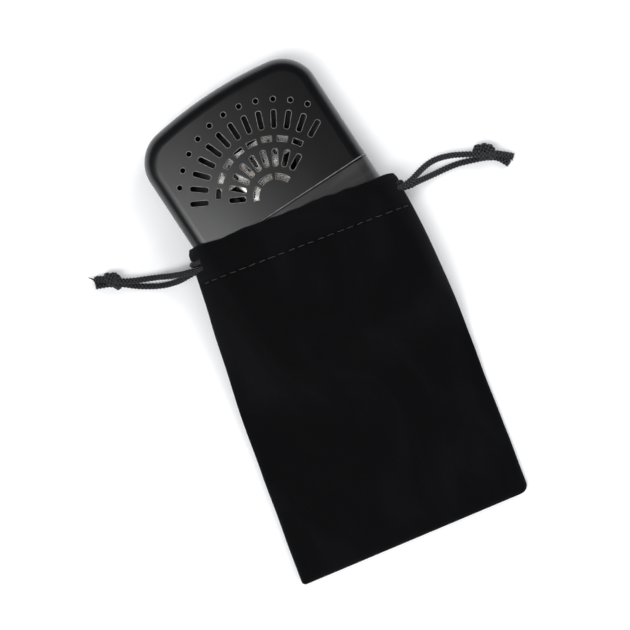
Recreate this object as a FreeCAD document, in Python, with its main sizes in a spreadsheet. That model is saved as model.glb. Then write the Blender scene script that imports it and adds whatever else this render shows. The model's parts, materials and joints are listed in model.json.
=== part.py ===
import FreeCAD, Part
import math
import os
import re
import Sketcher

Vector = FreeCAD.Vector
document = FreeCAD.newDocument("HandWarmer")
sheet = document.addObject("Spreadsheet::Sheet", "Sizes")

# Millimetres and degrees. The warmer's axis is +Y, its closed bottom end is at y = 0, and the pouch lies on z = 0.
SIZES = {
    # the warmer's case
    "case_width": 68.0,
    "case_thickness": 14.0,
    "crown_rise": 1.2,
    "case_wall": 0.6,
    "tank_height": 53.7,
    "cap_height": 47.3,
    "arch_radius": 150.0,
    "cap_corner": 13.0,
    "base_corner": 12.0,
    "rim_radius": 5.3,
    "lip_radius": 0.25,
    # the collar on the tank that the cap slides over, and the neck in its deck
    "collar_skirt": 8.0,
    "collar_rise": 8.0,
    "collar_wall": 0.5,
    "cap_clearance": 0.12,
    "deck_thickness": 0.6,
    "neck_width": 22.0,
    "neck_depth": 7.6,
    "neck_corner": 3.6,
    "neck_wall": 0.5,
    "neck_rise": 6.3,
    "neck_tail": 3.0,
    "neck_flange": 1.2,
    "flange_thickness": 0.6,
    # the filling of the tank
    "batt_width": 48.0,
    "batt_thickness": 3.3,
    "batt_corner": 9.0,
    "batt_setback": 3.6,
    "filling_clearance": 0.5,
    "wick_clearance": 0.2,
    "wick_setback": 5.0,
    # the burner that pulls off the neck
    "socket_clearance": 0.05,
    "socket_wall": 0.5,
    "socket_grip": 4.8,
    "socket_rest": 0.1,
    "socket_lid": 0.6,
    "vapour_slot_width": 18.0,
    "vapour_slot_depth": 4.0,
    "chamber_width": 30.0,
    "chamber_depth": 9.6,
    "chamber_height": 9.0,
    "chamber_wall": 0.5,
    "post_size": 2.4,
    "grille_thickness": 0.4,
    "grille_slot_width": 1.1,
    "grille_slot_corner": 0.5,
    "grille_slot_length": 6.0,
    "grille_slot_count": 9,
    "rivet_radius": 0.5,
    "rivet_head_radius": 0.8,
    "rivet_head_height": 0.3,
    "rivet_depth": 2.0,
    "gauze_thickness": 0.3,
    "catalyst_thickness": 5.6,
    "catalyst_clearance": 0.3,
    # the vents in the cap's front face: rings about one centre, on the cap's middle line
    "fan_centre": 58.0,
    "vent_width": 1.9,
    "vent_corner": 0.8,
    "vent_edge": 0.2,
    "fan_span": 124.0,
    "inner_arc_radius": 7.0,
    "inner_arc_angle": 19.0,
    "inner_arc_count": 3,
    "inner_arc_span": 100.0,
    "outer_arc_radius": 20.0,
    "outer_arc_angle": 5.0,
    "short_ray_start": 10.5,
    "short_ray_end": 16.5,
    "short_ray_count": 9,
    "long_ray_start": 23.5,
    "long_ray_end": 30.0,
    "long_ray_count": 13,
    "dot_ring_radius": 33.6,
    # the pouch
    "pouch_turn": 12.3,
    "case_gap": 0.1,
    "fabric_thickness": 1.0,
    "hem_fabric": 0.5,
    "hem_width": 12.0,
    "hem_corner": 3.0,
    "mouth_place": 50.2,
    "pouch_length": 122.7,
    "left_spread": 4.5,
    "right_ease": 1.0,
    "base_ease": 3.0,
    "swell_place": 20.0,
    "slope_start": 1.5,
    "slope_length": 19.5,
    "flat_room": 1.4,
    "flat_corner": 0.5,
    "ground_trim": 0.3,
    "allowance_width": 4.0,
    "allowance_thickness": 1.0,
    "allowance_setback": 0.6,
    "stitch_length": 2.6,
    "stitch_pitch": 3.6,
    "stitch_width": 0.35,
    "stitch_height": 0.25,
    "stitch_inset": 0.7,
    "stitch_margin": 6.0,
    # the drawcords
    "cord_diameter": 2.0,
    "cord_clearance": 0.1,
    "cord_exit_radius": 2.0,
    "strand_spacing": 2.2,
    "exit_slot_width": 2.8,
    "left_cord_setback": 7.0,
    "right_cord_setback": 4.6,
    "knot_length": 7.4,
    "knot_width": 6.4,
    "knot_height": 5.8,
}


def fill_sheet():
    for row, (alias, number) in enumerate(SIZES.items(), start=1):
        sheet.set(f"A{row}", alias.replace("_", " "))
        sheet.set(f"B{row}", str(number))
        sheet.setAlias(f"B{row}", alias)
    document.recompute()


def sized(text):
    """The expression with every size's name pointing at its cell."""
    return re.sub(r"[a-z]+(?:_[a-z]+)+", lambda name: f"Sizes.{name.group(0)}", text)


def value(text):
    return float(sheet.evalExpression(sized(text)))


fill_sheet()

# Places that several pieces share, each worked out from the sizes.
HEM_STACK = "(2 * hem_fabric + cord_diameter + 2 * cord_clearance)"
CASE_MIDDLE = f"({HEM_STACK} + case_gap + case_thickness / 2)"
CAP_END = "(tank_height + cap_height)"
DECK_TOP = "(tank_height + collar_rise)"
NECK_TOP = f"({DECK_TOP} + neck_rise)"
SOCKET_LOW = f"({NECK_TOP} - socket_grip)"
CHAMBER_LOW = f"({NECK_TOP} + socket_rest + socket_lid)"
CHAMBER_TOP = f"({CHAMBER_LOW} + chamber_height)"
CROWN_RADIUS = "((case_width ^ 2 / 4 + crown_rise ^ 2) / (2 * crown_rise))"
FILLING_TOP = "(tank_height - filling_clearance)"

HEM_LINE = "(mouth_place - hem_width)"
CAVITY_LEFT = "(-(case_width / 2 + mouth_place * sin(pouch_turn)) / cos(pouch_turn) - case_gap)"
CAVITY_RIGHT = f"((case_width / 2 - {HEM_LINE} * sin(pouch_turn)) / cos(pouch_turn) + case_gap)"
HEM_LEFT = f"({CAVITY_LEFT} - {HEM_STACK})"
HEM_RIGHT = f"({CAVITY_RIGHT} + {HEM_STACK})"
CASE_ROOF = f"({CASE_MIDDLE} + case_thickness / 2 + case_gap)"
CORNER_REACH = "((case_width / 2 - base_corner) * cos(pouch_turn) + base_corner * (1 - sin(pouch_turn)))"
BASE_REACH = "((case_width / 2 - base_corner) * sin(pouch_turn) + base_corner * (1 - cos(pouch_turn)))"
FLAT_LEFT = f"({HEM_LEFT} - left_spread)"
FLAT_RIGHT = f"({CORNER_REACH} + case_gap + fabric_thickness + right_ease)"
BASE_PLACE = f"(-{BASE_REACH} - base_ease)"
FLAT_PLACE = f"((slope_start - slope_length + {FLAT_LEFT} * sin(pouch_turn)) / cos(pouch_turn))"
BOTTOM_PLACE = "(mouth_place - pouch_length)"
FLAT_TOP = "(2 * fabric_thickness + flat_room)"
LEFT_CORD_PLACE = "(mouth_place - left_cord_setback)"
RIGHT_CORD_PLACE = "(mouth_place - right_cord_setback)"


def bind(item, path, text):
    item.setExpression(path, sized(text))


def new_body(label, turned=False, height=None):
    """A body on the warmer's axis, or one turned with the pouch."""
    body = document.addObject("PartDesign::Body", label)
    body.Label = label
    if turned:
        body.Placement = FreeCAD.Placement(Vector(), FreeCAD.Rotation(Vector(0, 0, -1), value("pouch_turn")))
        bind(body, ".Placement.Rotation.Angle", "pouch_turn")
    if height:
        bind(body, ".Placement.Base.z", height)
    return body


def warmer_body(label):
    return new_body(label, height=CASE_MIDDLE)


def pouch_body(label):
    return new_body(label, turned=True)


def new_sketch(body, name, role, offset=None, across=None, turn=None, swing=None):
    """A sketch on one of the body's own planes, moved along that plane's normal by offset.

    turn is an angle about that normal, and swing an angle about the sketch's upright axis.
    """
    sketch = body.newObject("Sketcher::SketchObject", name)
    origin_plane = next(item for item in body.Origin.OriginFeatures if item.Role == role)
    sketch.AttachmentSupport = [(origin_plane, "")]
    sketch.MapMode = "FlatFace"
    for angle, axis in ((turn, Vector(0, 0, 1)), (swing, Vector(0, 1, 0))):
        if angle:
            sketch.AttachmentOffset = FreeCAD.Placement(Vector(), FreeCAD.Rotation(axis, value(angle)))
            bind(sketch, ".AttachmentOffset.Rotation.Angle", angle)
    if offset:
        bind(sketch, ".AttachmentOffset.Base.z", offset)
    if across:
        bind(sketch, ".AttachmentOffset.Base.y", across)
    return sketch


def cross_section(body, name, place):
    """A sketch square to the Y axis, at a place along it."""
    return new_sketch(body, name, "XZ_Plane", offset=f"-{place}")


def hold(sketch, kind, *where):
    """A driving dimension whose value is an expression on the sizes."""
    *entities, text = where
    number = value(text)
    index = sketch.addConstraint(Sketcher.Constraint(kind, *entities, number))
    sketch.renameConstraint(index, f"{kind}{index}")
    bind(sketch, f"Constraints.{kind}{index}", text)


def hold_point(sketch, geometry, end, across, up):
    hold(sketch, "DistanceX", -1, 1, geometry, end, across)
    hold(sketch, "DistanceY", -1, 1, geometry, end, up)


def outline(sketch, corners, arcs=None, hollows=()):
    """A closed outline through corners given as pairs of expressions, listed counter-clockwise.

    arcs gives the radius of each curved side, by the number of the corner that it starts at.
    A curved side bulges outwards unless it is among the hollows.
    """
    arcs = arcs or {}
    points = [Vector(value(across), value(up), 0) for across, up in corners]
    count = len(points)
    ends = []
    for side in range(count):
        start = points[side]
        finish = points[(side + 1) % count]
        if side in arcs:
            radius = value(arcs[side])
            chord = finish - start
            sagitta = radius - math.sqrt(radius ** 2 - chord.Length ** 2 / 4)
            outwards = Vector(chord.y, -chord.x, 0).normalize()
            bulge = -sagitta if side in hollows else sagitta
            curve = Part.Arc(start, (start + finish) / 2 + outwards * bulge, finish)
        else:
            curve = Part.LineSegment(start, finish)
        index = sketch.addGeometry(curve, False)
        first = 1 if sketch.getPoint(index, 1).distanceToPoint(start) < 1e-6 else 2
        ends.append((index, first, 3 - first))
    for side, (across, up) in enumerate(corners):
        index, first, last = ends[side]
        following, following_first, _ = ends[(side + 1) % count]
        sketch.addConstraint(Sketcher.Constraint("Coincident", index, last, following, following_first))
        hold_point(sketch, index, first, across, up)
        if side in arcs:
            hold(sketch, "Radius", index, arcs[side])


def rectangle(sketch, left, right, low, high):
    outline(sketch, [(left, low), (right, low), (right, high), (left, high)])


def rounded_rectangle(sketch, left, right, low, high, radius):
    """A rectangle with four equal rounded corners."""
    x0, x1, y0, y1, corner = (value(text) for text in (left, right, low, high, radius))
    lines = []
    for start, finish in (
        ((x0 + corner, y0), (x1 - corner, y0)),
        ((x1, y0 + corner), (x1, y1 - corner)),
        ((x1 - corner, y1), (x0 + corner, y1)),
        ((x0, y1 - corner), (x0, y0 + corner)),
    ):
        lines.append(sketch.addGeometry(Part.LineSegment(Vector(*start, 0), Vector(*finish, 0)), False))
    arcs = []
    for centre, quarter in (
        ((x1 - corner, y0 + corner), -1),
        ((x1 - corner, y1 - corner), 0),
        ((x0 + corner, y1 - corner), 1),
        ((x0 + corner, y0 + corner), 2),
    ):
        circle = Part.Circle(Vector(*centre, 0), Vector(0, 0, 1), corner)
        start_angle = quarter * math.pi / 2
        arcs.append(sketch.addGeometry(Part.ArcOfCircle(circle, start_angle, start_angle + math.pi / 2), False))
    for side in range(4):
        sketch.addConstraint(Sketcher.Constraint("Tangent", lines[side], 2, arcs[side], 1))
        sketch.addConstraint(Sketcher.Constraint("Tangent", arcs[side], 2, lines[(side + 1) % 4], 1))
        level = "Horizontal" if side % 2 == 0 else "Vertical"
        sketch.addConstraint(Sketcher.Constraint(level, lines[side]))
    for arc in arcs[1:]:
        sketch.addConstraint(Sketcher.Constraint("Equal", arcs[0], arc))
    hold(sketch, "Radius", arcs[0], radius)
    hold(sketch, "DistanceY", -1, 1, lines[0], 1, low)
    hold(sketch, "DistanceX", -1, 1, lines[1], 1, right)
    hold(sketch, "DistanceY", -1, 1, lines[2], 1, high)
    hold(sketch, "DistanceX", -1, 1, lines[3], 1, left)


def circle(sketch, across, up, radius):
    shape = Part.Circle(Vector(value(across), value(up), 0), Vector(0, 0, 1), value(radius))
    index = sketch.addGeometry(shape, False)
    hold_point(sketch, index, 3, across, up)
    hold(sketch, "Radius", index, radius)


def pad(body, sketch, length, back=False, both=False):
    """Material along the sketch's normal, or against it, or half each way."""
    feature = body.newObject("PartDesign::Pad", f"{sketch.Name}Pad")
    feature.Profile = sketch
    bind(feature, "Length", length)
    feature.Reversed = back
    feature.Midplane = both
    sketch.Visibility = False
    return feature


def pad_along(body, sketch, length):
    """Material from a cross section towards +Y, which is against the sketch's normal."""
    return pad(body, sketch, length, back=True)


def pocket(body, sketch, length=None, back=False, both=False):
    """A cut against the sketch's normal, or along it, or both ways; through everything where no length is given."""
    feature = body.newObject("PartDesign::Pocket", f"{sketch.Name}Cut")
    feature.Profile = sketch
    feature.Midplane = both
    feature.Reversed = back
    if length:
        bind(feature, "Length", length)
    else:
        feature.Type = "ThroughAll"
    sketch.Visibility = False
    return feature


def cut_through(body, sketch):
    return pocket(body, sketch, both=True)


def round_edges(body, base, test, radius):
    """A fillet on those edges of the base that pass the test."""
    document.recompute()
    names = [f"Edge{number}" for number, edge in enumerate(base.Shape.Edges, start=1) if test(edge)]
    feature = body.newObject("PartDesign::Fillet", f"{base.Name}Round")
    feature.Base = (base, names)
    bind(feature, "Radius", radius)
    document.recompute()
    return feature


def combine(body, tool, kind):
    """Cut the tool body from this one, or fuse it to it."""
    feature = body.newObject("PartDesign::Boolean", f"{tool.Name}{kind}")
    feature.Type = kind
    feature.setObjects([tool])
    document.recompute()


def middle_of(edge):
    low, high = edge.ParameterRange
    return edge.valueAt((low + high) / 2)


def runs_along(edge, axis):
    if edge.Curve.TypeId != "Part::GeomLine":
        return False
    return abs(edge.Curve.Direction.dot(axis)) > 0.999


# ---------------------------------------------------------------- the warmer's case


def crowned_block(body, name, inset, low, high):
    """The case's cross section, drawn inset from its outside, between two places along Y.

    Both broad faces are crowned across the width, and the long edges are left sharp.
    """
    half_width = f"(case_width / 2 - {inset})"
    radius = f"({CROWN_RADIUS} - {inset})"
    half_height = f"(case_thickness / 2 - {inset} - {radius} + sqrt({radius} ^ 2 - {half_width} ^ 2))"
    sketch = cross_section(body, name, low)
    corners = [
        (f"-{half_width}", f"-{half_height}"),
        (half_width, f"-{half_height}"),
        (half_width, half_height),
        (f"-{half_width}", half_height),
    ]
    outline(sketch, corners, arcs={0: radius, 2: radius})
    return pad_along(body, sketch, f"{high} - {low}"), value(half_height)


def rounded_block(body, inset, low, high):
    """A crowned block with its long edges rounded to match the case, and both its ends square."""
    block, half_height = crowned_block(body, "Block", inset, low, high)

    def is_long(edge):
        return runs_along(edge, Vector(0, 1, 0)) and abs(abs(middle_of(edge).z) - half_height) < 0.01

    round_edges(body, block, is_long, f"rim_radius - {inset}")


def round_rims(body, base, half_height, open_place, radius):
    """Round every edge between a broad face and the narrow sides, except at the open end."""

    def is_rim(edge):
        point = middle_of(edge)
        return abs(point.z) > half_height - 0.01 and abs(point.y - open_place) > 0.01

    return round_edges(body, base, is_rim, radius)


def round_upright_corners(body, base, low, high, radius):
    """Round the edges that stand square to the broad faces, between two places along Y."""

    def is_corner(edge):
        return runs_along(edge, Vector(0, 0, 1)) and low < middle_of(edge).y < high

    return round_edges(body, base, is_corner, radius)


def round_lip(body, base, open_place):
    """Break the sharp edge all round the open end."""
    round_edges(body, base, lambda edge: abs(middle_of(edge).y - value(open_place)) < 0.01, "lip_radius")


def tank_form(body, inset, overshoot):
    """The tank's solid form: rounded at its closed bottom, cut square at its open top."""
    high = f"(tank_height + {overshoot})"
    block, half_height = crowned_block(body, "TankSection", inset, inset, high)
    corners = round_upright_corners(body, block, -1, value("base_corner"), f"base_corner - {inset}")
    return round_rims(body, corners, half_height, value(high), f"rim_radius - {inset}")


def cap_form(body, inset, overshoot):
    """The cap's solid form: arched and rounded at its closed top, cut square at its open bottom."""
    low = f"(tank_height - {overshoot})"
    end = f"({CAP_END} - {inset})"
    half_width = f"(case_width / 2 - {inset})"
    radius = f"(arch_radius - {inset})"
    shoulder = f"({end} - {radius} + sqrt({radius} ^ 2 - {half_width} ^ 2))"
    beyond = f"({end} + cap_corner)"
    block, half_height = crowned_block(body, "CapSection", inset, low, end)
    arch = new_sketch(body, "CapArch", "XY_Plane")
    corners = [
        (f"-{half_width}", shoulder),
        (half_width, shoulder),
        (half_width, beyond),
        (f"-{half_width}", beyond),
    ]
    outline(arch, corners, arcs={0: radius}, hollows=(0,))
    arched = cut_through(body, arch)
    corner_place = value(shoulder)
    rounded = round_upright_corners(body, arched, corner_place - 0.1, corner_place + 0.1, f"cap_corner - {inset}")
    return round_rims(body, rounded, half_height, value(low), f"rim_radius - {inset}")


def tank_shell():
    body = warmer_body("tank_shell")
    outside = tank_form(body, inset="0", overshoot="0")
    round_lip(body, outside, "tank_height")
    inside = new_body("tank_inside")
    tank_form(inside, inset="case_wall", overshoot="case_wall")
    combine(body, inside, "Cut")
    return body


def cap_shell():
    body = warmer_body("cap_shell")
    outside = cap_form(body, inset="0", overshoot="0")
    round_lip(body, outside, "tank_height")
    inside = new_body("cap_inside")
    cap_form(inside, inset="case_wall", overshoot="case_wall")
    combine(body, inside, "Cut")
    ray_vents(body, "ShortRay", "short_ray_start", "short_ray_end", "short_ray_count", "fan_span")
    ray_vents(body, "LongRay", "long_ray_start", "long_ray_end", "long_ray_count", "fan_span")
    arc_vents(body, "InnerArc", "inner_arc_radius", "inner_arc_angle", "inner_arc_count", "inner_arc_span")
    outer_arc_span = "(fan_span * (short_ray_count - 2) / (short_ray_count - 1))"
    arc_vents(body, "OuterArc", "outer_arc_radius", "outer_arc_angle", "short_ray_count - 1", outer_arc_span)
    dot_span = "(fan_span * (long_ray_count - 3) / (long_ray_count - 1))"
    dot_vents(body, "Dot", "dot_ring_radius", "long_ray_count - 2", dot_span)
    round_edges(body, body.Tip, is_vent_rim, "vent_edge")
    return body


def is_vent_rim(edge):
    """Whether an edge lies wholly on the front face's outside, within the fan of vents."""
    tolerance = 0.003
    radius = value(CROWN_RADIUS)
    crest = value("case_thickness / 2")
    reach = value("dot_ring_radius + vent_width")
    low, high = edge.ParameterRange
    for share in (0, 0.25, 0.5, 0.75, 1):
        point = edge.valueAt(low + (high - low) * share)
        face_height = crest - radius + math.sqrt(radius ** 2 - point.x ** 2)
        if abs(point.z - face_height) > tolerance:
            return False
        if math.hypot(point.x, point.y - value("fan_centre")) > reach:
            return False
    return True


def fan_sketch(body, name, span):
    """A sketch about the fan's centre, turned to the fan's first place."""
    return new_sketch(body, name, "XY_Plane", across="fan_centre", turn=f"{span} / 2")


def fan_out(body, sketch, count, span):
    """Cut the sketch through the front face, and repeat the cut round the fan's centre."""
    first = pocket(body, sketch, back=True)
    pattern = body.newObject("PartDesign::PolarPattern", f"{sketch.Name}Fan")
    pattern.Originals = [first]
    pattern.Axis = (sketch, ["N_Axis"])
    pattern.Reversed = True
    bind(pattern, "Angle", span)
    bind(pattern, "Occurrences", count)
    body.Tip = pattern
    document.recompute()


def ray_vents(body, name, start, end, count, span):
    sketch = fan_sketch(body, name, span)
    rounded_rectangle(sketch, "-vent_width / 2", "vent_width / 2", start, end, "vent_corner")
    fan_out(body, sketch, count, span)


def arc_vents(body, name, radius, half_angle, count, span):
    sketch = fan_sketch(body, name, span)
    near = f"({radius} - vent_width / 2)"
    far = f"({radius} + vent_width / 2)"
    corners = [
        (f"-{near} * sin({half_angle})", f"{near} * cos({half_angle})"),
        (f"{near} * sin({half_angle})", f"{near} * cos({half_angle})"),
        (f"{far} * sin({half_angle})", f"{far} * cos({half_angle})"),
        (f"-{far} * sin({half_angle})", f"{far} * cos({half_angle})"),
    ]
    outline(sketch, corners, arcs={0: near, 2: far}, hollows=(0,))
    fan_out(body, sketch, count, span)


def dot_vents(body, name, radius, count, span):
    sketch = fan_sketch(body, name, span)
    circle(sketch, "0", radius, "vent_width / 2")
    fan_out(body, sketch, count, span)


# ---------------------------------------------------------------- what stands on and in the tank


def collar():
    """The tank's shoulder: a skirt pressed into the tank, a wall that the cap slides over, and a deck."""
    body = warmer_body("tank_collar")
    skirt_low = "(tank_height - collar_skirt)"
    wall_inset = "(case_wall + cap_clearance)"
    hollow_inset = "(case_wall + cap_clearance + collar_wall)"
    rounded_block(body, "case_wall", skirt_low, "tank_height")
    wall = new_body("collar_wall")
    rounded_block(wall, wall_inset, "tank_height", DECK_TOP)
    combine(body, wall, "Fuse")
    inside = new_body("collar_inside")
    rounded_block(inside, hollow_inset, f"({skirt_low} - collar_wall)", f"({DECK_TOP} - deck_thickness)")
    combine(body, inside, "Cut")
    hole = cross_section(body, "NeckHole", DECK_TOP)
    neck_outline(hole, "0")
    cut_through(body, hole)
    return body


def neck_outline(sketch, offset):
    """The filler neck's outside, as an oblong, enlarged by offset on every side."""
    half_width = f"(neck_width / 2 + {offset})"
    half_depth = f"(neck_depth / 2 + {offset})"
    corner = f"(neck_corner + {offset})"
    rounded_rectangle(sketch, f"-{half_width}", half_width, f"-{half_depth}", half_depth, corner)


def filler_neck():
    body = warmer_body("filler_neck")
    tail_low = f"({DECK_TOP} - deck_thickness - neck_tail)"
    tube = cross_section(body, "Tube", tail_low)
    neck_outline(tube, "0")
    neck_outline(tube, "(-neck_wall)")
    pad_along(body, tube, f"{NECK_TOP} - {tail_low}")
    flange = cross_section(body, "Flange", DECK_TOP)
    neck_outline(flange, "neck_flange")
    neck_outline(flange, "(-neck_wall)")
    pad_along(body, flange, "flange_thickness")
    return body


def wick_felt():
    body = warmer_body("wick_felt")
    felt = cross_section(body, "Felt", FILLING_TOP)
    neck_outline(felt, "(-neck_wall - wick_clearance)")
    pad_along(body, felt, f"{NECK_TOP} - wick_setback - {FILLING_TOP}")
    return body


def cotton_batt(label, layer):
    """One of three flat layers of cotton: -1 at the back, 0 in the middle, 1 at the front."""
    body = warmer_body(label)
    batt = new_sketch(body, "Batt", "XY_Plane", offset=f"{layer} * batt_thickness")
    low = "(case_wall + batt_setback)"
    rounded_rectangle(batt, "-batt_width / 2", "batt_width / 2", low, FILLING_TOP, "batt_corner")
    pad(body, batt, "batt_thickness", both=True)
    return body


# ---------------------------------------------------------------- the burner


def burner_socket():
    """The sleeve that pushes over the neck, closed by a lid with a slot for the vapour."""
    body = warmer_body("burner_socket")
    lid_low = f"({NECK_TOP} + socket_rest)"
    sleeve = cross_section(body, "Sleeve", SOCKET_LOW)
    neck_outline(sleeve, "(socket_clearance + socket_wall)")
    neck_outline(sleeve, "socket_clearance")
    pad_along(body, sleeve, f"{lid_low} - {SOCKET_LOW}")
    lid = cross_section(body, "Lid", lid_low)
    neck_outline(lid, "(socket_clearance + socket_wall)")
    vapour_slot(lid)
    pad_along(body, lid, "socket_lid")
    return body


def vapour_slot(sketch):
    half_width = "vapour_slot_width / 2"
    half_depth = "vapour_slot_depth / 2"
    rectangle(sketch, f"-{half_width}", half_width, f"-{half_depth}", half_depth)


def burner_frame():
    """A U of sheet metal, open at the front, back and top, with a post in each corner for the rivets."""
    body = warmer_body("burner_frame")
    side = new_sketch(body, "Side", "XY_Plane")
    outer = "(chamber_width / 2)"
    inner = "(chamber_width / 2 - chamber_wall)"
    floor = f"({CHAMBER_LOW} + chamber_wall)"
    outline(
        side,
        [
            (f"-{outer}", CHAMBER_LOW),
            (outer, CHAMBER_LOW),
            (outer, CHAMBER_TOP),
            (inner, CHAMBER_TOP),
            (inner, floor),
            (f"-{inner}", floor),
            (f"-{inner}", CHAMBER_TOP),
            (f"-{outer}", CHAMBER_TOP),
        ],
    )
    pad(body, side, "chamber_depth", both=True)
    for number, (left, right, low, high) in enumerate(post_places()):
        post = new_sketch(body, f"Post{number}", "XY_Plane")
        rectangle(post, left, right, low, high)
        pad(body, post, "chamber_depth", both=True)
    slot = cross_section(body, "FloorSlot", floor)
    vapour_slot(slot)
    pocket(body, slot, "2 * chamber_wall", back=True)
    holes = new_sketch(body, "RivetHoles", "XY_Plane")
    rivet_circles(holes, "rivet_radius")
    cut_through(body, holes)
    return body


def post_places():
    """Left, right, low and high of each corner post."""
    outer = "(chamber_width / 2 - chamber_wall)"
    inner = f"({outer} - post_size)"
    floor = f"({CHAMBER_LOW} + chamber_wall)"
    ceiling = CHAMBER_TOP
    for low, high in ((floor, f"({floor} + post_size)"), (f"({ceiling} - post_size)", ceiling)):
        yield f"-{outer}", f"-{inner}", low, high
        yield inner, outer, low, high


def rivet_circles(sketch, radius):
    """A circle in the middle of each corner post."""
    for left, right, low, high in post_places():
        circle(sketch, f"({left} + {right}) / 2", f"({low} + {high}) / 2", radius)


def burner_grille(label, side):
    """A flat plate over the chamber's front (side 1) or back (side -1), with a row of upright slots."""
    body = warmer_body(label)
    place = f"{side} * chamber_depth / 2"
    plate = new_sketch(body, "Plate", "XY_Plane", offset=place)
    rectangle(plate, "-chamber_width / 2", "chamber_width / 2", CHAMBER_LOW, CHAMBER_TOP)
    rivet_circles(plate, "rivet_radius")
    pad(body, plate, "grille_thickness", back=side < 0)
    slot = new_sketch(body, "Slot", "XY_Plane", offset=place)
    pitch = "((chamber_width - 2 * chamber_wall - 2 * post_size) / grille_slot_count)"
    first = f"(-{pitch} * (grille_slot_count - 1) / 2)"
    middle = f"(({CHAMBER_LOW} + {CHAMBER_TOP}) / 2)"
    rounded_rectangle(
        slot,
        f"({first} - grille_slot_width / 2)",
        f"({first} + grille_slot_width / 2)",
        f"({middle} - grille_slot_length / 2)",
        f"({middle} + grille_slot_length / 2)",
        "grille_slot_corner",
    )
    cut = cut_through(body, slot)
    pattern = body.newObject("PartDesign::LinearPattern", "SlotRow")
    pattern.Originals = [cut]
    pattern.Direction = (slot, ["H_Axis"])
    bind(pattern, "Length", f"{pitch} * (grille_slot_count - 1)")
    bind(pattern, "Occurrences", "grille_slot_count")
    body.Tip = pattern
    return body


def grille_rivets(label, side):
    """Four rivets through one grille into the corner posts."""
    body = warmer_body(label)
    face = f"{side} * (chamber_depth / 2 + grille_thickness)"
    heads = new_sketch(body, "Heads", "XY_Plane", offset=face)
    rivet_circles(heads, "rivet_head_radius")
    pad(body, heads, "rivet_head_height", back=side < 0)
    shanks = new_sketch(body, "Shanks", "XY_Plane", offset=face)
    rivet_circles(shanks, "rivet_radius")
    pad(body, shanks, "rivet_depth", back=side > 0)
    return body


def burner_top_plate():
    body = warmer_body("burner_top_plate")
    plate = cross_section(body, "Plate", CHAMBER_TOP)
    rectangle(plate, "-chamber_width / 2", "chamber_width / 2", "-chamber_depth / 2", "chamber_depth / 2")
    vapour_slot(plate)
    pad_along(body, plate, "chamber_wall")
    return body


def catalyst_layer(label, near, far):
    """A slab of the catalyst between the corner posts, from one depth to another."""
    body = warmer_body(label)
    layer = new_sketch(body, "Layer", "XY_Plane", offset=near)
    half_width = "(chamber_width / 2 - chamber_wall - post_size - catalyst_clearance)"
    rectangle(layer, f"-{half_width}", half_width, f"{CHAMBER_LOW} + chamber_wall", CHAMBER_TOP)
    pad(body, layer, f"{far} - {near}")
    return body


# ---------------------------------------------------------------- the pouch


def tube_section(body, name, place, left, right, low, high, radius, inset):
    """A cross section of the pouch from low up to high, drawn inset from its outside."""
    sketch = cross_section(body, name, place)
    rounded_rectangle(
        sketch,
        f"({left} + {inset})",
        f"({right} - {inset})",
        low,
        f"({high} - {inset})",
        f"({radius} - {inset})",
    )
    return sketch


def pouch_sections(body, inset, low, bottom):
    """The pouch's cross sections from its hem line to its bottom, before its top is cut down to its slopes."""
    full = (f"({CASE_ROOF} + fabric_thickness)", "(hem_corner + fabric_thickness)")
    flat = (FLAT_TOP, "(fabric_thickness + flat_corner)")
    spread = f"({HEM_LINE} - {FLAT_PLACE})"
    swell_left = f"({HEM_LEFT} - left_spread * ({HEM_LINE} - swell_place) / {spread})"
    base_left = f"({HEM_LEFT} - left_spread * ({HEM_LINE} - {BASE_PLACE}) / {spread})"
    stations = [
        (HEM_LINE, HEM_LEFT, HEM_RIGHT, *full),
        ("swell_place", swell_left, FLAT_RIGHT, *full),
        (BASE_PLACE, base_left, FLAT_RIGHT, *full),
        (FLAT_PLACE, FLAT_LEFT, FLAT_RIGHT, *flat),
        (bottom, FLAT_LEFT, FLAT_RIGHT, *flat),
    ]
    for number, (place, left, right, high, radius) in enumerate(stations):
        yield tube_section(body, f"Section{number}", place, left, right, low, high, radius, inset)


def cut_slope(body, name, role, edge, inset):
    """Cut the cloth's top away above a slope that comes down from one edge of the warmer to the flat cloth.

    The slope is square to the warmer, which lies turned in the pouch.
    """
    sketch = new_sketch(body, name, role, swing="pouch_turn")
    drop = f"({CASE_ROOF} + fabric_thickness - {FLAT_TOP})"
    thinning = f"({inset} * tan(atan({drop} / slope_length) / 2))"
    start = f"({edge} + slope_start + {thinning})"
    beyond = f"({start} - pouch_length)"
    flat = f"({FLAT_TOP} - {inset})"
    above = f"({flat} + 2 * {drop})"
    corners = [
        (f"({start} - slope_length)", flat),
        (f"({start} + slope_length)", above),
        (beyond, above),
        (beyond, flat),
    ]
    outline(sketch, corners)
    cut_through(body, sketch)


def pouch_form(body, inset, low, bottom):
    """The pouch's solid form below its hem: full over the warmer, and sloping down beyond its base and left side."""
    first, *others = pouch_sections(body, inset, low, bottom)
    feature = body.newObject("PartDesign::AdditiveLoft", "Loft")
    feature.Profile = first
    feature.Sections = others
    feature.Ruled = True
    cut_slope(body, "BaseSlope", "YZ_Plane", "0", inset)
    cut_slope(body, "LeftSlope", "XZ_Plane", "(-case_width / 2)", inset)


def seam_side(body, offcut_height):
    """Cut away what lies on one side of the side seams, down or up to offcut_height."""
    sketch = new_sketch(body, "SeamSide", "YZ_Plane")
    beyond = "(mouth_place + hem_width)"
    below = f"({BOTTOM_PLACE} - hem_width)"
    flat_seam = f"({FLAT_TOP} / 2)"
    corners = [
        (below, offcut_height),
        (beyond, offcut_height),
        (beyond, CASE_MIDDLE),
        (HEM_LINE, CASE_MIDDLE),
        (BASE_PLACE, flat_seam),
        (below, flat_seam),
    ]
    outline(sketch, corners)
    cut_through(body, sketch)


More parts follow.
